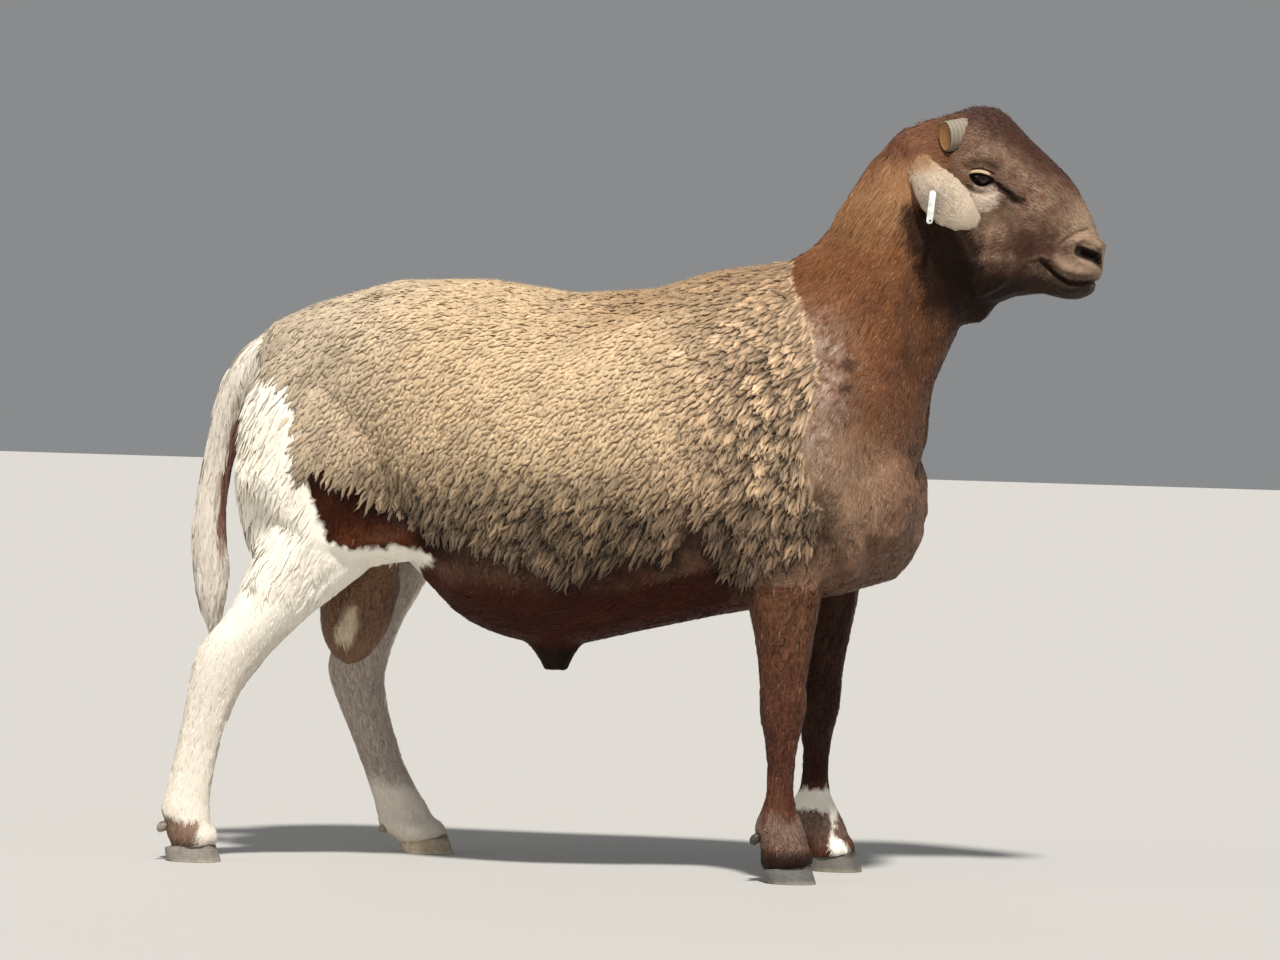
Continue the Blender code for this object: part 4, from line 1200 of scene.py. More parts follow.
@dataclass
class Tufts:
    """Tufts with one root each; a size is one number, or one for each root."""

    skin: Skin
    roots: Array
    faces: Array  # the face of the skin under each root
    colours: Array
    length: Number
    width: Number  # greatest half width
    thickness: Number  # greatest half thickness
    lift: Number = 0.001  # height of the middle over the skin
    tip_lift: Number = 0.001
    stiff: Number = 0.0  # 0 follows the skin, 1 goes straight
    droop: Number = 0.0  # how far the tip sags, as a share of the length
    wave: Number = 0.0  # how far it swings aside
    wave_length: float = 0.012
    turn: Number = 0.0  # its turn away from the lie of the coat, in radians
    clump: Number = 0.0  # the distance between clumps, or 0 for none
    pull: Number = 0.0  # how far the tips of a clump draw together
    sink: Number = 0.0  # how far a clump's edge lies below its middle, as a share of the lift
    step: Number = 0.0  # how far a clump rises towards its tips, as a share of the lift
    root_shade: Number = 0.6  # painted shade: how dark the root is against the tip
    rings: int = 5  # stations along the length, without the tip
    sides: int = 4  # corners round the tuft: four put a flat side up, three an edge
    rounded: bool = True  # shading it round would make flat hair look like tubes
    profile: Profile = Profile.POINTED
    seed: int = 0

    def __post_init__(self) -> None:
        """Spread every size to one value per root."""
        for item in fields(self):
            if item.type == Number:
                setattr(self, item.name, np.zeros(len(self.roots)) + getattr(self, item.name))
        self.chance = np.random.default_rng(self.seed)
        self.shares = np.linspace(0, 1, self.rings + 1)

    @property
    def triangles(self) -> int:
        """The triangles of one tuft."""
        return 2 * (self.rings - 1) * self.sides + self.sides + self.sides - 2

    def _clumps(self) -> tuple[Array, Array, Array]:
        """Gather the roots in clumps that are longer down and back than across.

        Returns:
            The way from each root to the middle of its clump, its distance from there and its place
            down and back from there, both as shares of the clump's half width.
        """
        self.mood = np.zeros(len(self.roots))
        if not self.clump.any():
            return np.zeros_like(self.roots), self.mood, self.mood
        down = unit(np.array((-0.62, 0.0, -0.78)))
        squeezed = self.roots - 0.6 * (self.roots @ down)[:, None] * down
        middles = thinned(squeezed, self.clump, self.chance)
        tree = KDTree(len(middles))
        for number in middles:
            tree.insert(squeezed[number], int(number))
        tree.balance()
        own = np.array([tree.find(place)[1] for place in squeezed])
        half = 0.62 * self.clump
        edge = np.linalg.norm(squeezed[own] - squeezed, axis=1) / half
        way = self.roots[own] - self.roots
        self.mood = self.chance.normal(0, 1, len(self.roots))[own]
        return way, np.clip(edge, 0, 1), np.clip(-(way @ down) * 0.4 / half, -1, 1)

    def _paths(self) -> tuple[Array, Array, Array]:
        """Lay each tuft's middle line along the skin.

        Returns:
            The middle line's stations, the normals of the skin under them, and each tuft's painted shade,
            darker at a clump's edge and under the clump above, with a random tone for each clump.
        """
        skin, surface = self.skin, self.skin.surface
        spot, face = self.roots, self.faces
        start = None
        stations, normals = [], []
        for _ in self.shares:
            normal = unit(surface.across(skin.normals, spot, face))
            flow = flat_on(surface.across(skin.lie, spot, face), normal)
            aside = np.cross(normal, flow)
            flow = flow * np.cos(self.turn)[:, None] + aside * np.sin(self.turn)[:, None]
            if start is None:
                start = flow
            stations.append(spot)
            normals.append(normal)
            spot, face = surface.nearest(spot + flow * (self.length / self.rings)[:, None])
        share = self.shares[None, :, None]
        follow, normal = np.stack(stations, 1), np.stack(normals, 1)
        straight = self.roots[:, None] + start[:, None] * self.length[:, None, None] * share
        middle = follow + self.stiff[:, None, None] * (straight - follow)
        way, edge, lower = self._clumps()
        way = way - normal[:, 0] * (way * normal[:, 0]).sum(1, keepdims=True)
        middle = middle + way[:, None] * self.pull[:, None, None] * share ** 1.3
        rise = np.sin(np.minimum(self.shares / 0.4, 1) * math.pi / 2)
        fall = ramp(self.shares, 0.45, 1.0)
        height = self.lift[:, None] * rise + (self.tip_lift - self.lift)[:, None] * fall
        height = height * (1 - self.sink * edge ** 2 + self.step * lower)[:, None] - 0.001 * (1 - rise)
        # Painted shade at the edge of each clump and under the clump above it.
        shade = 1 - 0.7 * self.sink * edge ** 2 - 0.8 * self.step * ramp(lower, 0.1, -0.9)
        swing = np.sin(self.shares * (self.length / self.wave_length)[:, None] * math.tau
                       + self.chance.uniform(0, math.tau, (len(self.roots), 1)))
        aside = np.cross(normal, flat_on(np.gradient(middle, axis=1), normal))
        swing = self.wave[:, None] * swing * self.shares
        middle = middle + normal * height[..., None] + aside * swing[..., None]
        middle[..., 2] -= (self.droop * self.length)[:, None] * self.shares ** 2
        return middle, normal, shade * (1 + 0.4 * self.sink * self.mood.clip(-1.5, 1.5))

    def _rings(self, middle: Array, normal: Array) -> Array:
        """Put rings of corners round the middle lines.

        Args:
            middle: The stations of each tuft.
            normal: The skin's normals under them.

        Returns:
            The vertices of each tuft: its rings one after another, and its tip.
        """
        count = len(self.roots)
        along = unit(np.gradient(middle, axis=1))
        aside = unit(np.cross(normal, along))
        up = np.cross(along, aside)
        roll = self.chance.normal(0, 0.3, (count, 1, 1))
        aside, up = (aside * np.cos(roll) + up * np.sin(roll), up * np.cos(roll) - aside * np.sin(roll))
        table = np.array(self.profile.value)
        size = np.interp(self.shares, table[:, 0], table[:, 1])[:-1]
        angle = math.pi / (4 if self.sides == 4 else 2) + math.tau * np.arange(self.sides) / self.sides
        wide = (self.width[:, None] * size)[:, :, None, None] * np.cos(angle)[:, None]
        high = (self.thickness[:, None] * size)[:, :, None, None] * np.sin(angle)[:, None]
        ring = middle[:, :-1, None] + aside[:, :-1, None] * wide + up[:, :-1, None] * high
        return np.concatenate((ring.reshape(count, -1, 3), middle[:, -1:]), axis=1)

    def _template(self) -> tuple[list[list[int]], list[list[Point]]]:
        """Give one tuft's faces, and the (across, along) shares of each face's corners."""
        sides = self.sides
        faces = [list(range(sides))[::-1]]
        shares = [[(i / sides, 0.0) for i in faces[0]]]
        for ring, (low, high) in enumerate(zip(self.shares, self.shares[1:])):
            for i in range(sides):
                here, there = ring * sides + i, ring * sides + (i + 1) % sides
                left, right = i / sides, (i + 1) / sides
                if ring < self.rings - 1:
                    faces.append([here, there, there + sides, here + sides])
                    shares.append([(left, low), (right, low), (right, high), (left, high)])
                else:
                    faces.append([here, there, self.rings * sides])
                    shares.append([(left, low), (right, low), ((left + right) / 2, high)])
        return faces, shares

    def pieces(self, name: str) -> list[Object]:
        """Make the tufts as joined meshes.

        Args:
            name: What the pieces are called, before their number.

        Returns:
            The pieces, from front to back.
        """
        middle, normal, shade = self._paths()
        corners = self._rings(middle, normal)
        station = np.append(np.repeat(self.shares[:-1], self.sides), 1.0)
        # Painted shade towards each tuft's root.
        painted_root_shade = 1 - self.root_shade[:, None] * (1 - ramp(station, 0.0, 0.55))
        tones = self.colours[:, None] * (painted_root_shade * shade[:, None])[..., None]
        order = np.argsort(-self.roots[:, 0], kind="stable")
        parts = np.array_split(order, math.ceil(len(order) * self.triangles / PIECE_TRIANGLES))
        return [self._piece(f"{name}_{number + 1}", part, corners[part], tones[part])
                for number, part in enumerate(parts)]

    def _piece(self, name: str, chosen: Array, corners: Array, tones: Array) -> Object:
        """Make one joined mesh of the chosen tufts.

        Args:
            name: The piece's name.
            chosen: The numbers of its tufts.
            corners: The vertices of each tuft.
            tones: Their linear colours.

        Returns:
            The piece.
        """
        faces, shares = self._template()
        count, size = corners.shape[:2]
        loops = np.concatenate([np.array(face) for face in faces])
        sizes = np.array([len(face) for face in faces])
        share = np.concatenate([np.array(rows) for rows in shares])
        mesh = bpy.data.meshes.new(name)
        mesh.vertices.add(count * size)
        mesh.vertices.foreach_set("co", corners.astype(np.float32).ravel())
        mesh.loops.add(count * len(loops))
        index = (np.arange(count)[:, None] * size + loops).astype(np.int32)
        mesh.loops.foreach_set("vertex_index", index.ravel())
        mesh.polygons.add(count * len(sizes))
        starts = np.concatenate(([0], np.cumsum(sizes)[:-1]))
        starts = (np.arange(count)[:, None] * len(loops) + starts).astype(np.int32)
        mesh.polygons.foreach_set("loop_start", starts.ravel())
        mesh.update(calc_edges=True)
        fibre = share[None] * np.stack((6 * self.width[chosen], self.length[chosen]), 1)[:, None] / MM
        fibre = fibre + self.chance.uniform(0, 900, (count, 1, 2))
        root = unwrapped(self.roots[chosen], self.skin.label(self.roots[chosen]))
        patch = root[:, None] + PATCH * (share[None] - 0.5)
        for layer, rows in ((ROOT_MAP, patch), (FIBRE_MAP, fibre)):
            mesh.uv_layers.new(name=layer).uv.foreach_set("vector", rows.astype(np.float32).ravel())
        paint(mesh, tones.reshape(-1, 3))
        mesh.validate()
        return show(name, mesh, self.rounded)


def unwrapped(points: Array, labels: Array) -> Array:
    """Unwrap places on the skin: each part of the body is rolled out round its own long axis.

    Args:
        points: Places on the skin.
        labels: The part of the flesh that each belongs to.

    Returns:
        A place in the unit square for each point.
    """
    kinds, counts = np.unique(labels, return_counts=True)
    starts = np.concatenate(([0.0], np.cumsum(np.sqrt(counts)) / np.sqrt(counts).sum()))
    placed = np.zeros((len(points), 2))
    for number, kind in enumerate(kinds):
        chosen = labels == kind
        spot = points[chosen]
        lies = FLESH[kind] in ("trunk", "head", "sheath")
        middle = (spot.min(0) + spot.max(0)) / 2
        off = (spot - middle).T
        angle = np.arctan2(*(off[1:] if lies else off[:2])) / math.tau + 0.5
        along = spot[:, 0] if lies else spot[:, 2]
        along = (along - along.min()) / max(float(np.ptp(along)), 1e-6)
        wide = starts[number + 1] - starts[number]
        placed[chosen, 0] = starts[number] + wide * (0.02 + 0.96 * along)
        placed[chosen, 1] = 0.01 + 0.98 * angle
    return placed * (1 - 2 * PATCH) + PATCH


def thinned(points: Array, spacing: Number, chance: np.random.Generator) -> Array:
    """Pick points that keep a distance from each other.

    Args:
        points: The points to pick from.
        spacing: The least distance, for all or for each point.
        chance: The seeded source of random numbers.

    Returns:
        The numbers of the picked points.
    """
    spacing = np.broadcast_to(spacing, len(points))
    tree = KDTree(len(points))
    for number, point in enumerate(points.tolist()):
        tree.insert(point, number)
    tree.balance()
    free = bytearray(b"\1") * len(points)
    picked = []
    for number in chance.permutation(len(points)).tolist():
        if free[number]:
            picked.append(number)
            for _, other, _ in tree.find_range(points[number], spacing[number]):
                free[other] = 0
    return np.sort(np.array(picked))


@dataclass
class Coat:
    """All the hair of the ram: fleece, long white hair and short hair."""

    skin: Skin
    crowd: int = 360_000  # points dropped on the skin to choose roots from
    fleece_spacing: float = 0.0042
    fuzz_spacing: float = 0.0065
    shaggy_spacing: float = 0.0053
    hair_spacing: float = 0.0058

    def __post_init__(self) -> None:
        """Seed the coat's random numbers."""
        self.chance = np.random.default_rng(11)
        self.coarse = 1.0
        self.tone = Ripple(0.012, 21)
        self.marks = self.skin.markings

    def _roots(self, spacing: float, crowd: int, reach: Callable[[Array, Array], Array], least: float,
               closeness: Callable[[Array], Array] = lambda points: 1.0) -> tuple[Array, Array, Array]:
        """Choose roots on the skin.

        Args:
            spacing: The distance between roots.
            crowd: How many points are dropped on the skin to choose from.
            reach: Gives a value for each point, from the points and their labels.
            least: Points above this value may be roots.
            closeness: Gives what share of the spacing holds at each point.

        Returns:
            The roots, the faces they lie on and their labels.
        """
        points, faces = self.skin.surface.scatter(crowd, self.chance)
        labels = self.skin.labels[self.skin.surface.faces[faces][:, 0]]
        held = reach(points, labels) > least
        points, faces, labels = points[held], faces[held], labels[held]
        picked = thinned(points, spacing * self.coarse * closeness(points), self.chance)
        return points[picked], faces[picked], labels[picked]

    def _colours(self, roots: Array, faces: Array, labels: Array, uneven: float) -> Array:
        """Give the markings' colour at each root, different from tuft to tuft, least where it is pale.

        Args:
            roots: Where the tufts grow.
            faces: The faces under them.
            labels: The part of the flesh at each.
            uneven: How far dark tufts differ.

        Returns:
            One linear colour per root.
        """
        normals = unit(self.skin.surface.across(self.skin.normals, roots, faces))
        tones = self.marks.colours(roots, normals, labels)
        each = self.chance.normal(0, 1, len(roots)) + 0.5 * self.tone.at(roots)
        return tones * np.clip(1 + uneven * (1 - 0.8 * tones.max(1)) * each, 0.58, 1.45)[:, None]

    def fleece(self) -> list[Object]:
        """Make the fleece: fine ridges on flank and back, deep locks on the shoulder and at the hem."""
        roots, faces, labels = self._roots(self.fleece_spacing, self.crowd, self.marks.fleece_by, 0.002,
                                           lambda points: 1 + 0.22 * self.marks.locks(points))
        locks = self.marks.locks(roots)
        edge = ramp(self.marks.fleece_by(roots, labels), 0.03, 0.008)
        hem = np.maximum(ramp(roots[:, 2], 0.5, 0.41), 0.8 * edge)
        depth = self.skin.surface.across(self.skin.depths, roots, faces)
        uneven = self.chance.normal(0, 1, (6, len(roots)))
        length = 0.015 + 0.006 * locks + 0.0085 * hem + 0.0018 * uneven[0]
        width = 0.0037 + 0.0001 * locks - 0.0008 * hem + 0.0004 * uneven[1]
        return Tufts(
            self.skin, roots, faces, self._colours(roots, faces, labels, 0.1),
            length=length.clip(0.01, 0.036), width=width.clip(0.0024, 0.0052),
            thickness=0.0005 + 0.0009 * locks, lift=depth * (0.42 + 0.1 * locks + 0.04 * uneven[2]),
            tip_lift=depth * (0.12 + 0.9 * locks + 0.1 * uneven[3].clip(-1, 1)),
            stiff=0.15 + 0.35 * hem, droop=0.05 * locks, wave=0.0018, wave_length=0.014,
            turn=0.12 * uneven[4] + 0.18 * self.tone.at(roots), clump=0.01 + 0.002 * locks,
            pull=0.04 + 0.36 * locks + 0.2 * hem, sink=0.02 + 0.5 * locks, step=0.02 + 0.33 * locks,
            root_shade=0.02 + 0.74 * locks, rings=4, sides=4, profile=Profile.LOCK, seed=31,
        ).pieces("fleece")

    def fuzz(self) -> list[Object]:
        """Make the loose fine fibres that stand out of the fleece and soften its outline."""
        roots, faces, labels = self._roots(self.fuzz_spacing, 200_000, self.marks.fleece_by, 0.004)
        depth = self.skin.surface.across(self.skin.depths, roots, faces)
        uneven = self.chance.normal(0, 1, (3, len(roots)))
        return Tufts(
            self.skin, roots, faces, 1.12 * self._colours(roots, faces, labels, 0.1),
            length=0.01 + 0.002 * uneven[0].clip(-2, 2), width=0.00028, thickness=0.00028,
            lift=depth * 0.9, tip_lift=depth + 0.0016 + 0.001 * np.abs(uneven[1]), stiff=0.3,
            wave=0.0014, wave_length=0.009, turn=0.6 * uneven[2], root_shade=0.2, rings=3, sides=3,
            profile=Profile.HAIR, seed=35,
        ).pieces("loose_wool")

    def shaggy(self) -> list[Object]:
        """Make the long white hair of thighs, buttocks and tail: flat feathered tufts."""
        roots, faces, labels = self._roots(self.shaggy_spacing, 150_000, self.marks.shaggy, 0.3)
        uneven = self.chance.normal(0, 1, (5, len(roots)))
        tail = part_is(labels, "tail")
        depth = self.skin.surface.across(self.skin.depths, roots, faces)
        width = np.where(tail, 0.0024, 0.0036) + 0.0004 * uneven[1]
        lift = depth * (0.4 + 0.08 * uneven[2])
        normals = unit(self.skin.surface.across(self.skin.normals, roots, faces))
        feather = ~tail * ramp(-normals[:, 0], 0.25, 0.75) * ramp(roots[:, 2], 0.33, 0.37)
        return Tufts(
            self.skin, roots, faces, self._colours(roots, faces, labels, 0.1),
            length=np.where(tail, 0.034, 0.028) + 0.003 * uneven[0] + 0.004 * feather, width=width,
            thickness=0.0002, lift=lift + 0.0008 * feather,
            tip_lift=lift + 0.0004 + 0.0002 * uneven[4].clip(-1, 2) + 0.0032 * feather,
            stiff=np.where(tail, 0.1, 0.2) + 0.2 * feather, droop=0.03,
            wave=0.0008, wave_length=0.02, turn=np.where(tail, 0.08, 0.14) * uneven[3],
            clump=np.where(tail, 0.014, 0.02), pull=0.25, sink=0.02, step=0.04, root_shade=0.0, rings=4,
            sides=3, rounded=False, profile=Profile.POINTED, seed=32,
        ).pieces("white_long_hair")

    def short(self) -> list[Object]:
        """Make the tufts of the short smooth hair, smallest on face and feet."""
        roots, faces, labels = self._roots(self.hair_spacing, self.crowd, self._short_haired, 0,
                                           self._closeness)
        small = self._closeness(roots)
        uneven = self.chance.normal(0, 1, (4, len(roots)))
        crest = ramp(roots[:, 2], 0.895, 0.925) * ramp(roots[:, 0], 0.47, 0.44)
        ear = part_is(labels, *EARS)
        fringe = ramp(roots[:, 2], 0.046, 0.034)
        length = (0.0115 * small + 0.0008 * uneven[0] + 0.004 * crest + 0.004 * fringe).clip(0.0035, 0.02)
        length = length * np.where(ear, 0.6, 1.0)
        tip_lift = 0.0006 * small + 0.0003 * np.abs(uneven[1])
        tones = self._colours(roots, faces, labels, 0.26 + 0.04 * part_is(labels, "head"))
        # A few tufts turn pale at random: pale hairs, and partly painted glints of glossy hair.
        pale = 0.16 * self.chance.random(len(roots)) ** 3 * ramp(tones.max(1), 0.03, 0.12)
        tones = mix(tones, np.maximum(self.marks.pale_tip, tones), pale)
        # The tufts are a little lighter than the skin: painted light that makes up for their own shading.
        return Tufts(
            self.skin, roots, faces, 1.04 * tones,
            length=length, width=0.00115 * small, thickness=0.0002 * small, lift=0.0003 * small,
            tip_lift=tip_lift * np.where(ear, 0.4, 1.0) + 0.0025 * crest,
            stiff=0.15 + 0.4 * crest, turn=(0.12 + 0.6 * crest) * uneven[2], root_shade=0.0, rings=3,
            sides=3, rounded=False, profile=Profile.HAIR, seed=33,
        ).pieces("short_hair")

    def _short_haired(self, points: Array, labels: Array) -> Array:
        """Hold points outside fleece and long hair, and off eyes, mouth and nostrils.

        Args:
            points: Places on the skin.
            labels: The part of the flesh at each.

        Returns:
            Whether each point may be a root.
        """
        bare = (self.marks.fleece_by(points, labels) > 0.004) | (self.marks.shaggy(points, labels) > 0.5)
        for side in Side:
            u, v, out = Socket(side).to_local(points).T
            bare |= (np.hypot(u / 1.5, v) < 0.012) & (out > 0)
        bare |= line_distance(points, MOUTH)[0] < 0.0022
        bare |= (nostril_distance(points) < 0.007) & (np.abs(points[:, 1]) > 0.006)
        bare |= (line_distance(points, WHITE_LINE)[0] < 0.006) & (points[:, 0] > -0.4)
        return ~bare & (points[:, 2] > 0.022)

    def _closeness(self, points: Array) -> Array:
        """Give how small and close the short hair is: least on face, ears, feet and beside the white."""
        head = ramp(points[:, 0] + 0.2 * (points[:, 2] - 0.8), 0.36, 0.39) * ramp(points[:, 2], 0.66, 0.7)
        feet = ramp(points[:, 2], 0.16, 0.07)
        border = ramp(line_distance(points, WHITE_LINE)[0], 0.014, 0.005)
        sock = ramp(np.abs(points[:, 2] - SOCK_HEIGHT), 0.026, 0.018) * ramp(points[:, 1], 0.0, 0.02)
        return 1 - np.maximum(np.maximum(0.38 * head, 0.4 * feet), 0.62 * np.maximum(border, sock))

    def lashes(self) -> list[Object]:
        """Make the lashes of the upper lids."""
        roots = []
        for side in Side:
            socket = Socket(side)
            u = np.linspace(-0.0128, 0.011, 36)
            v = socket.upper(u) + 0.0004
            out = np.sqrt((EYE_RADIUS + 0.0012) ** 2 - u ** 2 - v ** 2)
            roots.append(socket.to_frame(np.stack((u, v, out), 1)))
        points, faces = self.skin.surface.nearest(np.concatenate(roots))
        tone = np.broadcast_to(self.marks.black, (len(points), 3))
        return Tufts(self.skin, points, faces, tone, length=0.008, width=0.0004, thickness=0.0004,
                     lift=0.0008, tip_lift=0.0055, stiff=1.0, droop=0.7, turn=math.pi, root_shade=0.0,
                     rings=4, sides=3, profile=Profile.HAIR, seed=34).pieces("lashes")


# ---- Finishes ----

class Finish:
    """What a piece is made of: a material with one principled shader."""

    name: str

    def material(self) -> Material:
        """Make the material."""
        made = bpy.data.materials.new(self.name)
        made.use_nodes = True
        made.node_tree.nodes.clear()
        add = partial(add_node, made.node_tree)
        add("OutputMaterial", {"Surface": add("BsdfPrincipled", self.shading(add))})
        return made

    def shading(self, add: AddNode) -> dict:
        """Lay out the pattern in the tree and give the inputs of the principled shader.

        Args:
            add: Adds a node to the material's tree.

        Returns:
            A value or output for each input.
        """
        raise NotImplementedError


@dataclass(frozen=True)
class HairFinish(Finish):
    """Hair or wool in solid tufts: the markings' colour, broken by fine fibres along the tuft."""

    name: str
    roughness: float
    sheen: float  # the soft light of loose fibres at the edges
    specular: float
    streak: float  # how uneven the colour is from fibre to fibre
    fibre: float  # the width of a bundle in millimetres; single hairs of 0.03 mm are too fine to show
    crimp: float  # the length of a bundle's pattern in millimetres
    relief: float  # the depth of the fibres in metres

    def shading(self, add: AddNode) -> dict:
        """Break the markings' colour by fibres along each tuft."""
        place = add("UVMap", uv_map=FIBRE_MAP)
        scale = (1 / self.fibre, 1 / self.crimp, 1.0)
        scaled = add("Mapping", {"Vector": place, "Scale": scale})
        fibres = add("TexNoise", {"Vector": scaled, "Scale": 1.0, "Detail": 3.0, "Roughness": 0.6},
                     noise_dimensions="2D")
        tone = add("Attribute", attribute_name=COLOUR_LAYER)
        relief = add("Bump", {"Height": fibres, "Distance": self.relief, "Strength": 0.9})
        return {"Base Color": streaked(add, tone, fibres, self.streak), "Normal": relief,
                "Roughness": self.roughness, "Specular IOR Level": self.specular, "IOR": 1.55,
                "Sheen Weight": self.sheen, "Sheen Roughness": 0.5, "Sheen Tint": (1.0, 0.95, 0.88, 1.0)}


@dataclass(frozen=True)
class SkinFinish(Finish):
    """Skin under short flat hair: the markings' colour, with hairs as relief along the lie of the coat."""

    name: str = "short_hair_on_skin"
    roughness: float = 0.52
    specular: float = 0.08
    hair_width: float = 0.0038  # real hairs are 0.05 mm; bundles of 4 mm are the ones that show
    stretch: float = 0.82  # how far the pattern is drawn out along the lie
    streak: float = 0.95  # how uneven dark hair is; pale hair is more even
    pore: float = 0.00625  # the size of the soft unevenness under the hair

    def shading(self, add: AddNode) -> dict:
        """Draw the hairs out along the lie of the coat, over the pores."""
        tone = add("Attribute", attribute_name=COLOUR_LAYER)
        lie = add("Attribute", attribute_name=LIE_LAYER).outputs["Vector"]
        place = add("TexCoord").outputs["Object"]
        along = add("VectorMath", {0: place, 1: lie}, operation="DOT_PRODUCT").outputs["Value"]
        part = add("Math", {0: along, 1: self.stretch}, operation="MULTIPLY")
        shift = add("VectorMath", {0: lie, "Scale": part}, operation="SCALE")
        drawn = add("VectorMath", {0: place, 1: shift}, operation="SUBTRACT")
        hairs = add("TexNoise", {"Vector": drawn, "Scale": 1 / self.hair_width, "Detail": 4.0,
                                 "Roughness": 0.7})
        pores = add("TexNoise", {"Vector": place, "Scale": 1 / self.pore, "Detail": 2.0})
        fine = add("Bump", {"Height": hairs, "Distance": 0.0005, "Strength": 0.8})
        broad = add("Bump", {"Height": pores, "Distance": 0.001, "Strength": 0.35, "Normal": fine})
        return {"Base Color": streaked(add, tone, hairs, self.streak), "Normal": broad,
                "Roughness": self.roughness, "Specular IOR Level": self.specular, "IOR": 1.5,
                "Sheen Weight": 0.01, "Sheen Roughness": 0.4, "Sheen Tint": (1.0, 0.93, 0.85, 1.0)}


@dataclass(frozen=True)
class HornFinish(Finish):
    """Keratin of horn or hoof: painted growth bands, fine fibres up and down, a dry low gloss."""

    name: str
    roughness: float = 0.55
    band: float = 0.0032  # the step between two growth rings
    fibre: float = 0.0012  # tubules are 0.2 mm; bundles of 1.2 mm are the finest that show
    relief: float = 0.0003

    def shading(self, add: AddNode) -> dict:
        """Lay growth bands over upright fibres."""
        tone = add("Attribute", attribute_name=COLOUR_LAYER)
        place = add("TexCoord").outputs["Object"]
        upright = add("Mapping", {"Vector": place, "Scale": (1.0, 1.0, 0.12)})
        fibres = add("TexNoise", {"Vector": upright, "Scale": 1 / self.fibre, "Detail": 3.0})
        bands = add("TexWave", {"Vector": place, "Scale": math.tau / 20 / self.band, "Distortion": 1.5,
                                "Detail": 2.0, "Detail Scale": 0.6}, wave_type="BANDS",
                    bands_direction="Z").outputs["Fac"]
        both = add("Math", {0: bands, 1: 0.15, 2: fibres}, operation="MULTIPLY_ADD")
        share = add("MapRange", {"Value": both, "From Min": 0.3, "From Max": 0.9, "To Min": 0.8,
                                 "To Max": 1.18})
        varied = add("VectorMath", {0: tone, "Scale": share}, operation="SCALE")
        relief = add("Bump", {"Height": both, "Distance": self.relief, "Strength": 0.8})
        return {"Base Color": varied, "Normal": relief, "Roughness": self.roughness, "IOR": 1.54,
                "Specular IOR Level": 0.45}


@dataclass(frozen=True)
class EyeFinish(Finish):
    """The wet eye of a sheep: a dark amber iris with a level slot for a pupil."""

    name: str = "wet_eye"
    iris: str = "20140B"
    iris_rim: str = "170D07"
    white_of_eye: str = "1E1510"
    pupil: str = "050404"
    rings_to: float = 12.0  # how far the rings reach from the middle, in millimetres
    ring_shares: Triple = (0.5, 0.62, 0.7)  # where the iris ends, its rim is darkest and the white begins
    slot: Point = (4.2, 1.7)  # the half sizes of the pupil, in millimetres
    fleck: float = 1.6  # fine spokes in the iris, to the millimetre

    def shading(self, add: AddNode) -> dict:
        """Ring the iris and the white of the eye round the slot of the pupil."""
        place = add("UVMap", uv_map=FIBRE_MAP)
        spoke = add("TexNoise", {"Vector": place, "Scale": self.fleck, "Detail": 4.0},
                    noise_dimensions="2D")
        radius = add("VectorMath", {0: place}, operation="LENGTH").outputs["Value"]
        tones = add("ValToRGB", {"Fac": add("MapRange", {"Value": radius, "From Min": 0.0,
                                                         "From Max": self.rings_to})})
        steps = tones.color_ramp.elements
        steps[0].color, steps[1].color = colour(self.iris), colour(self.white_of_eye)
        for share, code in zip(self.ring_shares, (self.iris, self.iris_rim, self.white_of_eye)):
            steps.new(share).color = colour(code)
        flat = add("Mapping", {"Vector": place, "Scale": (1 / self.slot[0], 1 / self.slot[1], 0.0)})
        slot = add("VectorMath", {0: flat}, operation="LENGTH").outputs["Value"]
        edge = add("MapRange", {"Value": slot, "From Min": 0.9, "From Max": 1.1})
        seen = add("Mix", {0: edge, 6: colour(self.pupil), 7: tones}, data_type="RGBA").outputs[2]
        flecks = add("MapRange", {"Value": spoke, "To Min": 0.7, "To Max": 1.3})
        base = add("VectorMath", {0: seen, "Scale": flecks}, operation="SCALE")
        return {"Base Color": base, "Roughness": 0.12, "IOR": 1.38, "Coat Weight": 0.5,
                "Coat Roughness": 0.05}


@dataclass(frozen=True)
class TagFinish(Finish):
    """Moulded polyurethane of an ear tag: pale, slightly dirty, with a soft gloss."""

    name: str = "moulded_tag_plastic"
    clean: str = "E8EDEA"
    dirty: str = "B9B6A6"
    hole_shade: str = "14100E"
    hole: Triple = (0.0, 0.0, 0.0)
    hole_radius: float = 0.0013

    def shading(self, add: AddNode) -> dict:
        """Stain the plastic and paint shade in its eyelet."""
        place = add("TexCoord").outputs["Object"]
        stains = add("TexNoise", {"Vector": place, "Scale": 180.0, "Detail": 4.0})
        share = add("MapRange", {"Value": stains, "From Min": 0.45, "From Max": 0.75})
        base = add("Mix", {0: share, 6: colour(self.clean), 7: colour(self.dirty)},
                   data_type="RGBA").outputs[2]
        off = add("VectorMath", {0: place, 1: self.hole}, operation="DISTANCE").outputs["Value"]
        outside = add("MapRange", {"Value": off, "From Min": self.hole_radius,
                                   "From Max": self.hole_radius + 0.0003})
        # Painted shade in the eyelet's hole.
        base = add("Mix", {0: outside, 6: colour(self.hole_shade), 7: base}, data_type="RGBA")
        grain = add("TexNoise", {"Vector": place, "Scale": 1500.0})
        relief = add("Bump", {"Height": grain, "Distance": 0.0001, "Strength": 0.4})
        return {"Base Color": base.outputs[2], "Roughness": 0.38, "Normal": relief, "IOR": 1.5}


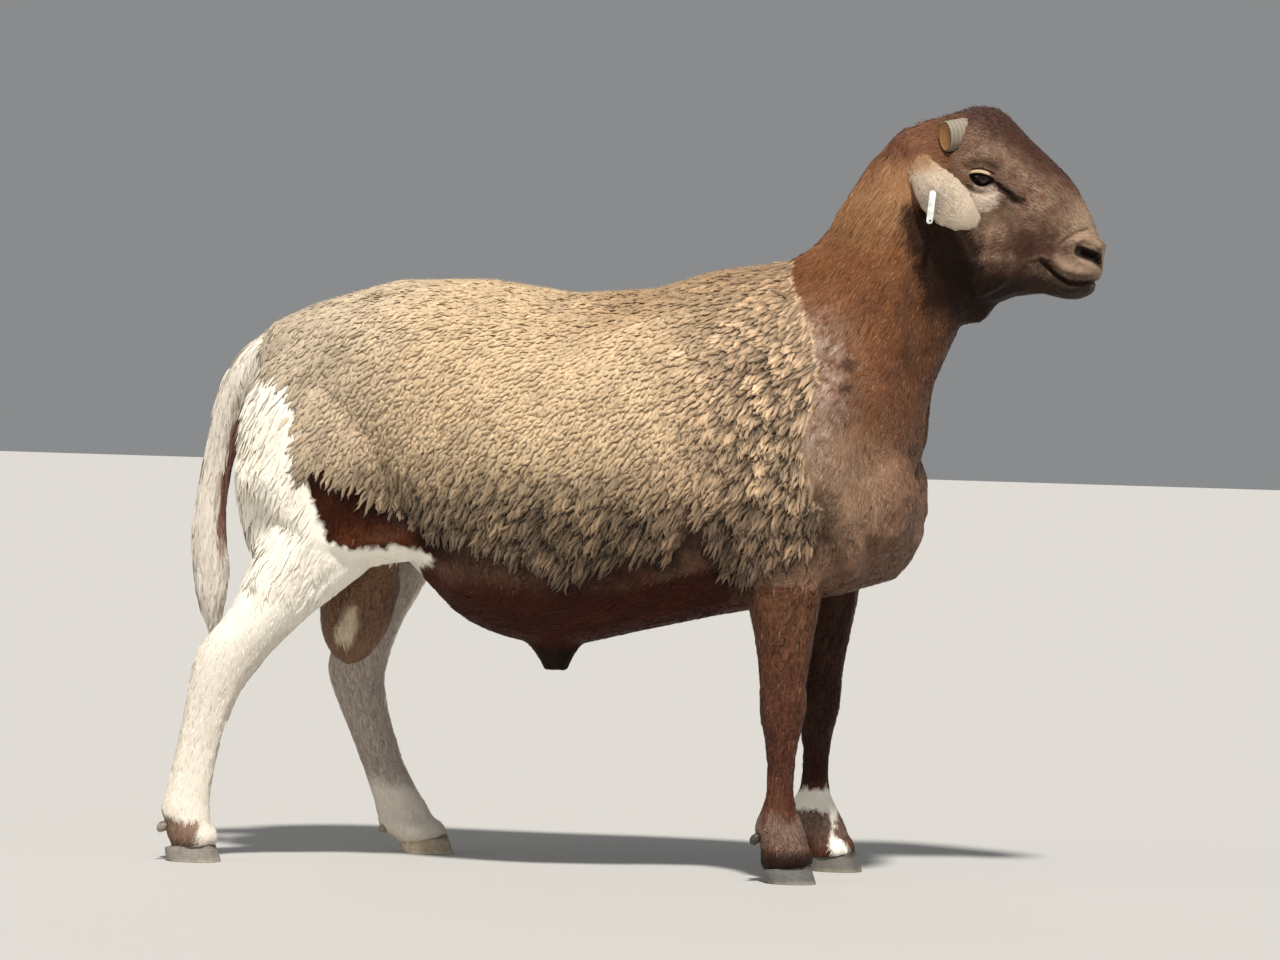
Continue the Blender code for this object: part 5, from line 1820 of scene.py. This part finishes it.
@dataclass(frozen=True)
class PaperFinish(Finish):
    """Pale matt paper of a studio floor, with no pattern that could draw the eye."""

    name: str = "pale_studio_paper"
    tone: str = "B2B1AE"

    def shading(self, add: AddNode) -> dict:
        """Give the one even tone."""
        return {"Base Color": colour(self.tone), "Roughness": 0.9}


# ---- Eyes, horns, hooves and ear tag ----

@dataclass
class Eyeball:
    """One eye: a ball with the bulge of its cornea."""

    side: Side
    bulge: float = 0.0007
    cornea: float = 0.0095  # the radius at which the bulge begins

    def build(self) -> Object:
        """Make the ball, and keep its (u, v) in millimetres for the iris."""
        socket = Socket(self.side)
        ball = bmesh.new()
        bmesh.ops.create_uvsphere(ball, u_segments=40, v_segments=28, radius=EYE_RADIUS)
        layer = ball.loops.layers.uv.new(FIBRE_MAP)
        for face in ball.faces:
            for loop in face.loops:
                loop[layer].uv = loop.vert.co.xy / MM
        for vertex in ball.verts:
            if vertex.co.z > 0:
                vertex.co.z += self.bulge * float(ramp(vertex.co.xy.length, self.cornea, 0.003))
            vertex.co = socket.to_frame(np.array(vertex.co))
        bmesh.ops.recalc_face_normals(ball, faces=ball.faces)
        return show(f"{self.side.word}_eyeball", ball)


@dataclass
class HornStump:
    """The stump of a sawn-off horn: a ridged oval shaft with a flat cut end."""

    side: Side
    base: Triple = (0.387, 0.04, 0.903)
    axis: Triple = (-0.74, 0.62, -0.1)
    radii: Point = (0.0152, 0.0212)
    length: float = 0.024
    taper: float = 0.86
    sunk: float = 0.008
    rings: int = 32
    ridges: float = 5.5
    ridge: float = 0.008
    shaft: str = "938B79"
    shaft_dark: str = "7A7161"
    rim: str = "57452F"
    cut: str = "96683F"
    core: str = "9A7145"

    def _profile(self) -> list[tuple[float, float, Array]]:
        """Give the height, width and colour of each ring, up the shaft and over the cut end."""
        rows = []
        for ring in range(self.rings + 1):
            share = ring / self.rings
            wave = math.sin(self.ridges * math.tau * share)
            wide = (1 + (self.taper - 1) * share) * (1 + self.ridge * wave)
            tone = mix(linear(self.shaft_dark), linear(self.shaft), 0.5 + 0.4 * wave)
            rows.append((-self.sunk + (self.length + self.sunk) * share, wide, tone))
        for drop, share, code in ((0, 0.96, self.rim), (-0.0006, 0.92, self.rim), (0, 0.88, self.cut),
                                  (0.0002, 0.5, self.cut), (0.0008, 0.3, self.core),
                                  (0.0008, 0.05, self.core)):
            rows.append((self.length - drop, self.taper * share, linear(code)))
        return rows

    def build(self) -> Object:
        """Draw the shaft out ring by ring and close its cut end."""
        horn = bmesh.new()
        bmesh.ops.create_circle(horn, cap_ends=True, segments=36, radius=1.0)
        end = list(horn.faces)
        layer = horn.verts.layers.float_color.new(COLOUR_LAYER)
        for number, (height, wide, tone) in enumerate(self._profile()):
            if number:
                drawn = bmesh.ops.extrude_face_region(horn, geom=end)["geom"]
                bmesh.ops.delete(horn, geom=end, context="FACES_ONLY")
                end = [item for item in drawn if isinstance(item, BMFace)]
            for vertex in end[0].verts:
                spot = vertex.co.xy.normalized() * wide
                vertex.co = Vector((spot.x, spot.y, height))
                vertex[layer] = (*tone, 1.0)
        across, up = self.radii
        turn = Vector(self.axis).to_track_quat("Z", "Y").to_matrix().to_4x4()
        place = Matrix.Translation(self.base) @ turn @ Matrix.Diagonal((across, up, 1.0, 1.0))
        bmesh.ops.transform(horn, verts=horn.verts, matrix=place)
        bmesh.ops.scale(horn, verts=horn.verts, vec=(1, self.side.value, 1))
        bmesh.ops.recalc_face_normals(horn, faces=horn.faces)
        return show(f"{self.side.word}_horn_stump", horn)


@dataclass
class Hoof:
    """One claw or dewclaw, rounded from its solid and ringed by growth."""

    node: str
    wall: str
    rim: str
    bevel: float = 0.0011
    ring: float = 0.00022
    ring_step: float = 0.0042
    heel: float = 0.0  # how far the foot of the heel bulges back
    band: str = "2A211B"
    coronet: float = 0.7  # the share of the height where the dark band begins

    def build(self) -> Object:
        """Round the edges of the solid and raise its growth rings."""
        low, high = (Vector(corner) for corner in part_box(self.node))
        hoof = node_copy(self.node)
        bmesh.ops.join_triangles(hoof, faces=hoof.faces, angle_face_threshold=0.3,
                                 angle_shape_threshold=0.6)
        round_edges(hoof, 38, self.bevel, 3)
        bmesh.ops.triangulate(hoof, faces=hoof.faces)
        long = [edge for edge in hoof.edges if edge.calc_length() > 0.003]
        bmesh.ops.subdivide_edges(hoof, edges=long, cuts=2, use_grid_fill=True)
        bmesh.ops.triangulate(hoof, faces=hoof.faces)
        hoof.normal_update()
        tall = high.z - low.z
        spots = np.array([vertex.co for vertex in hoof.verts])
        share = (spots[:, 2] - low.z) / tall
        out = self.ring * np.sin(spots[:, 2] / self.ring_step * math.tau) * ramp(share, 0.05, 0.25)
        spots[:, :2] += np.array([vertex.normal.xy for vertex in hoof.verts]) * out[:, None]
        back = (high.x - spots[:, 0]) / (high.x - low.x)
        spots[:, 0] -= self.heel * ramp(back, 0.6, 1) * ramp(share, 0.9, 0.1)
        for vertex, spot in zip(hoof.verts, spots):
            vertex.co = spot
        tone = layered(linear(self.wall), (linear(self.rim), ramp(share, 0.25, 0.02)),
                       (linear(self.band), 0.65 * ramp(share, self.coronet, self.coronet + 0.15)))
        made = show(f"{self.node}_shell", hoof)
        paint(made.data, tone * (1 + 0.08 * Ripple(0.004, 41).at(spots * (1, 1, 0.1)))[:, None])
        return made


@dataclass
class EarTag:
    """The blank strip tag in the right ear, with a rounded edge and an eyelet at its foot."""

    node: str = "ear_tag"
    edge: float = 0.0003

    def eyelet(self) -> Triple:
        """Give the place of the eyelet, on the outer face near the foot."""
        spots = np.array([vertex.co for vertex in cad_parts[self.node].data.vertices])
        foot = spots[spots[:, 2] < spots[:, 2].min() + 0.002].mean(0)
        head = spots[spots[:, 2] > spots[:, 2].max() - 0.002].mean(0)
        return tuple(float(part) for part in foot + unit(head - foot) * 0.0034)

    def build(self) -> Object:
        """Round the edges of the tag's solid."""
        tag = node_copy(self.node)
        bmesh.ops.dissolve_limit(tag, angle_limit=math.radians(2), verts=tag.verts, edges=tag.edges)
        round_edges(tag, 50, self.edge, 2)
        return show("ear_tag_strip", tag)


# ---- Studio ----

SUNS = (
    ("key", (0.14, -0.58, 1.0), 4.9, 5.0, "FFFAF3"),
    ("fill", (0.8, -0.75, 0.3), 0.18, 60.0, "F2F5FF"),
    ("rear", (-0.85, -0.5, 0.4), 0.4, 40.0, "FFFBF4"),
    ("back", (-0.3, 0.95, 0.75), 0.18, 40.0, "F4F6FF"),
)


@dataclass
class Studio:
    """The floor, the lights and the camera."""

    aim: Triple = (0.003, 0.0, 0.476)
    distance: float = 7.0
    bearing: float = math.radians(8.0)  # how far the camera stands towards the nose
    height: float = 0.6
    roll: float = math.radians(1.63)
    lens: float = 161.4
    floor_size: float = 60.0

    def build(self) -> None:
        """Set up the studio."""
        self._floor()
        self._world()
        for sun in SUNS:
            self._sun(*sun)
        self._camera()

    def _floor(self) -> None:
        """Lay a pale matt floor."""
        floor = bmesh.new()
        bmesh.ops.create_grid(floor, x_segments=2, y_segments=2, size=self.floor_size / 2)
        made = show("floor", floor)
        made.data.materials.append(PaperFinish().material())

    def _world(self) -> None:
        """Fill the room with pale light."""
        world = bpy.data.worlds.new("studio")
        world.use_nodes = True
        pale = world.node_tree.nodes["Background"].inputs
        pale["Color"].default_value = colour("E6E8EA")
        pale["Strength"].default_value = 0.32
        bpy.context.scene.world = world

    @staticmethod
    def _sun(name: str, towards: Triple, power: float, softness: float, tint: str) -> None:
        """Add a far light.

        Args:
            name: Its name.
            towards: The direction from the ram to the light.
            power: Its strength.
            softness: How wide it looks, in degrees.
            tint: Its colour.
        """
        lamp = bpy.data.lights.new(name, "SUN")
        lamp.energy = power
        lamp.angle = math.radians(softness)
        lamp.color = colour(tint)[:3]
        made = bpy.data.objects.new(name, lamp)
        made.rotation_mode = "QUATERNION"
        made.rotation_quaternion = Vector(towards).to_track_quat("Z", "Y")
        bpy.context.scene.collection.objects.link(made)

    def _camera(self) -> None:
        """Stand the camera a little ahead of the ram's right side, slightly rolled."""
        eye = Vector((self.aim[0] + self.distance * math.sin(self.bearing),
                      -self.distance * math.cos(self.bearing), self.height))
        ahead = (Vector(self.aim) - eye).to_track_quat("-Z", "Y").to_matrix().to_4x4()
        camera = bpy.data.objects.new("camera", bpy.data.cameras.new("camera"))
        camera.data.lens = self.lens
        camera.data.sensor_width = 36.0
        camera.data.clip_end = 200.0
        camera.matrix_world = Matrix.Translation(eye) @ ahead @ Matrix.Rotation(self.roll, 4, "Z")
        bpy.context.scene.collection.objects.link(camera)
        bpy.context.scene.camera = camera


HOOF_TONES = {
    "right_fore": ("605E5A", "8A867A"), "left_fore": ("5E5A54", "827A6C"),
    "right_hind": ("827C72", "A0988A"), "left_hind": ("B8A88E", "CDBFA6"),
}
DEWCLAW_TONES = {"fore": ("3A322B", "5A4E44"), "hind": ("8E8274", "B8AA98")}


def main() -> None:
    """Build the ram, piece by piece, and the studio round it."""
    logging.basicConfig(level=logging.INFO, format="%(message)s")
    bpy.context.scene.view_settings.view_transform = "Standard"
    Studio().build()
    skin = Skin()
    wear(skin.build(), SkinFinish().material(), "brown_hair", *FLESH)
    coat = Coat(skin)
    wool = HairFinish("shorn_wool", 0.95, 0.2, 0.12, 0.28, 0.9, 3.5, 0.0005).material()
    white = HairFinish("coarse_white_hair", 0.65, 0.1, 0.2, 0.3, 0.6, 12.0, 0.0003).material()
    brown = HairFinish("short_brown_hair", 0.58, 0.0, 0.09, 0.6, 0.8, 3.6, 0.0003).material()
    for layer, finish, slot in ((coat.fleece, wool, "fleece"), (coat.fuzz, wool, "fleece"),
                                (coat.shaggy, white, "white_hair"), (coat.short, brown, "brown_hair"),
                                (coat.lashes, brown, "brown_hair")):
        for piece in layer():
            wear(piece, finish, slot)
    eye, horn = EyeFinish().material(), HornFinish("horn").material()
    keratin = HornFinish("hoof_horn").material()
    for side in Side:
        wear(Eyeball(side).build(), eye, "eye", f"{side.word}_eye")
        wear(HornStump(side).build(), horn, "horn", f"{side.word}_horn")
    for foot, tones in HOOF_TONES.items():
        for side in Side:
            for kind in ("claw", "dewclaw"):
                node = f"{foot}_{side.word}_{kind}"
                hoof = Hoof(node, *tones, bevel=0.0026, heel=0.006)
                if kind == "dewclaw":
                    hoof = Hoof(node, *DEWCLAW_TONES[foot[-4:]])
                wear(hoof.build(), keratin, kind, node)
    tag = EarTag()
    wear(tag.build(), TagFinish(hole=tag.eyelet()).material(), "tag", "ear_tag")


if __name__ == "__main__":
    main()
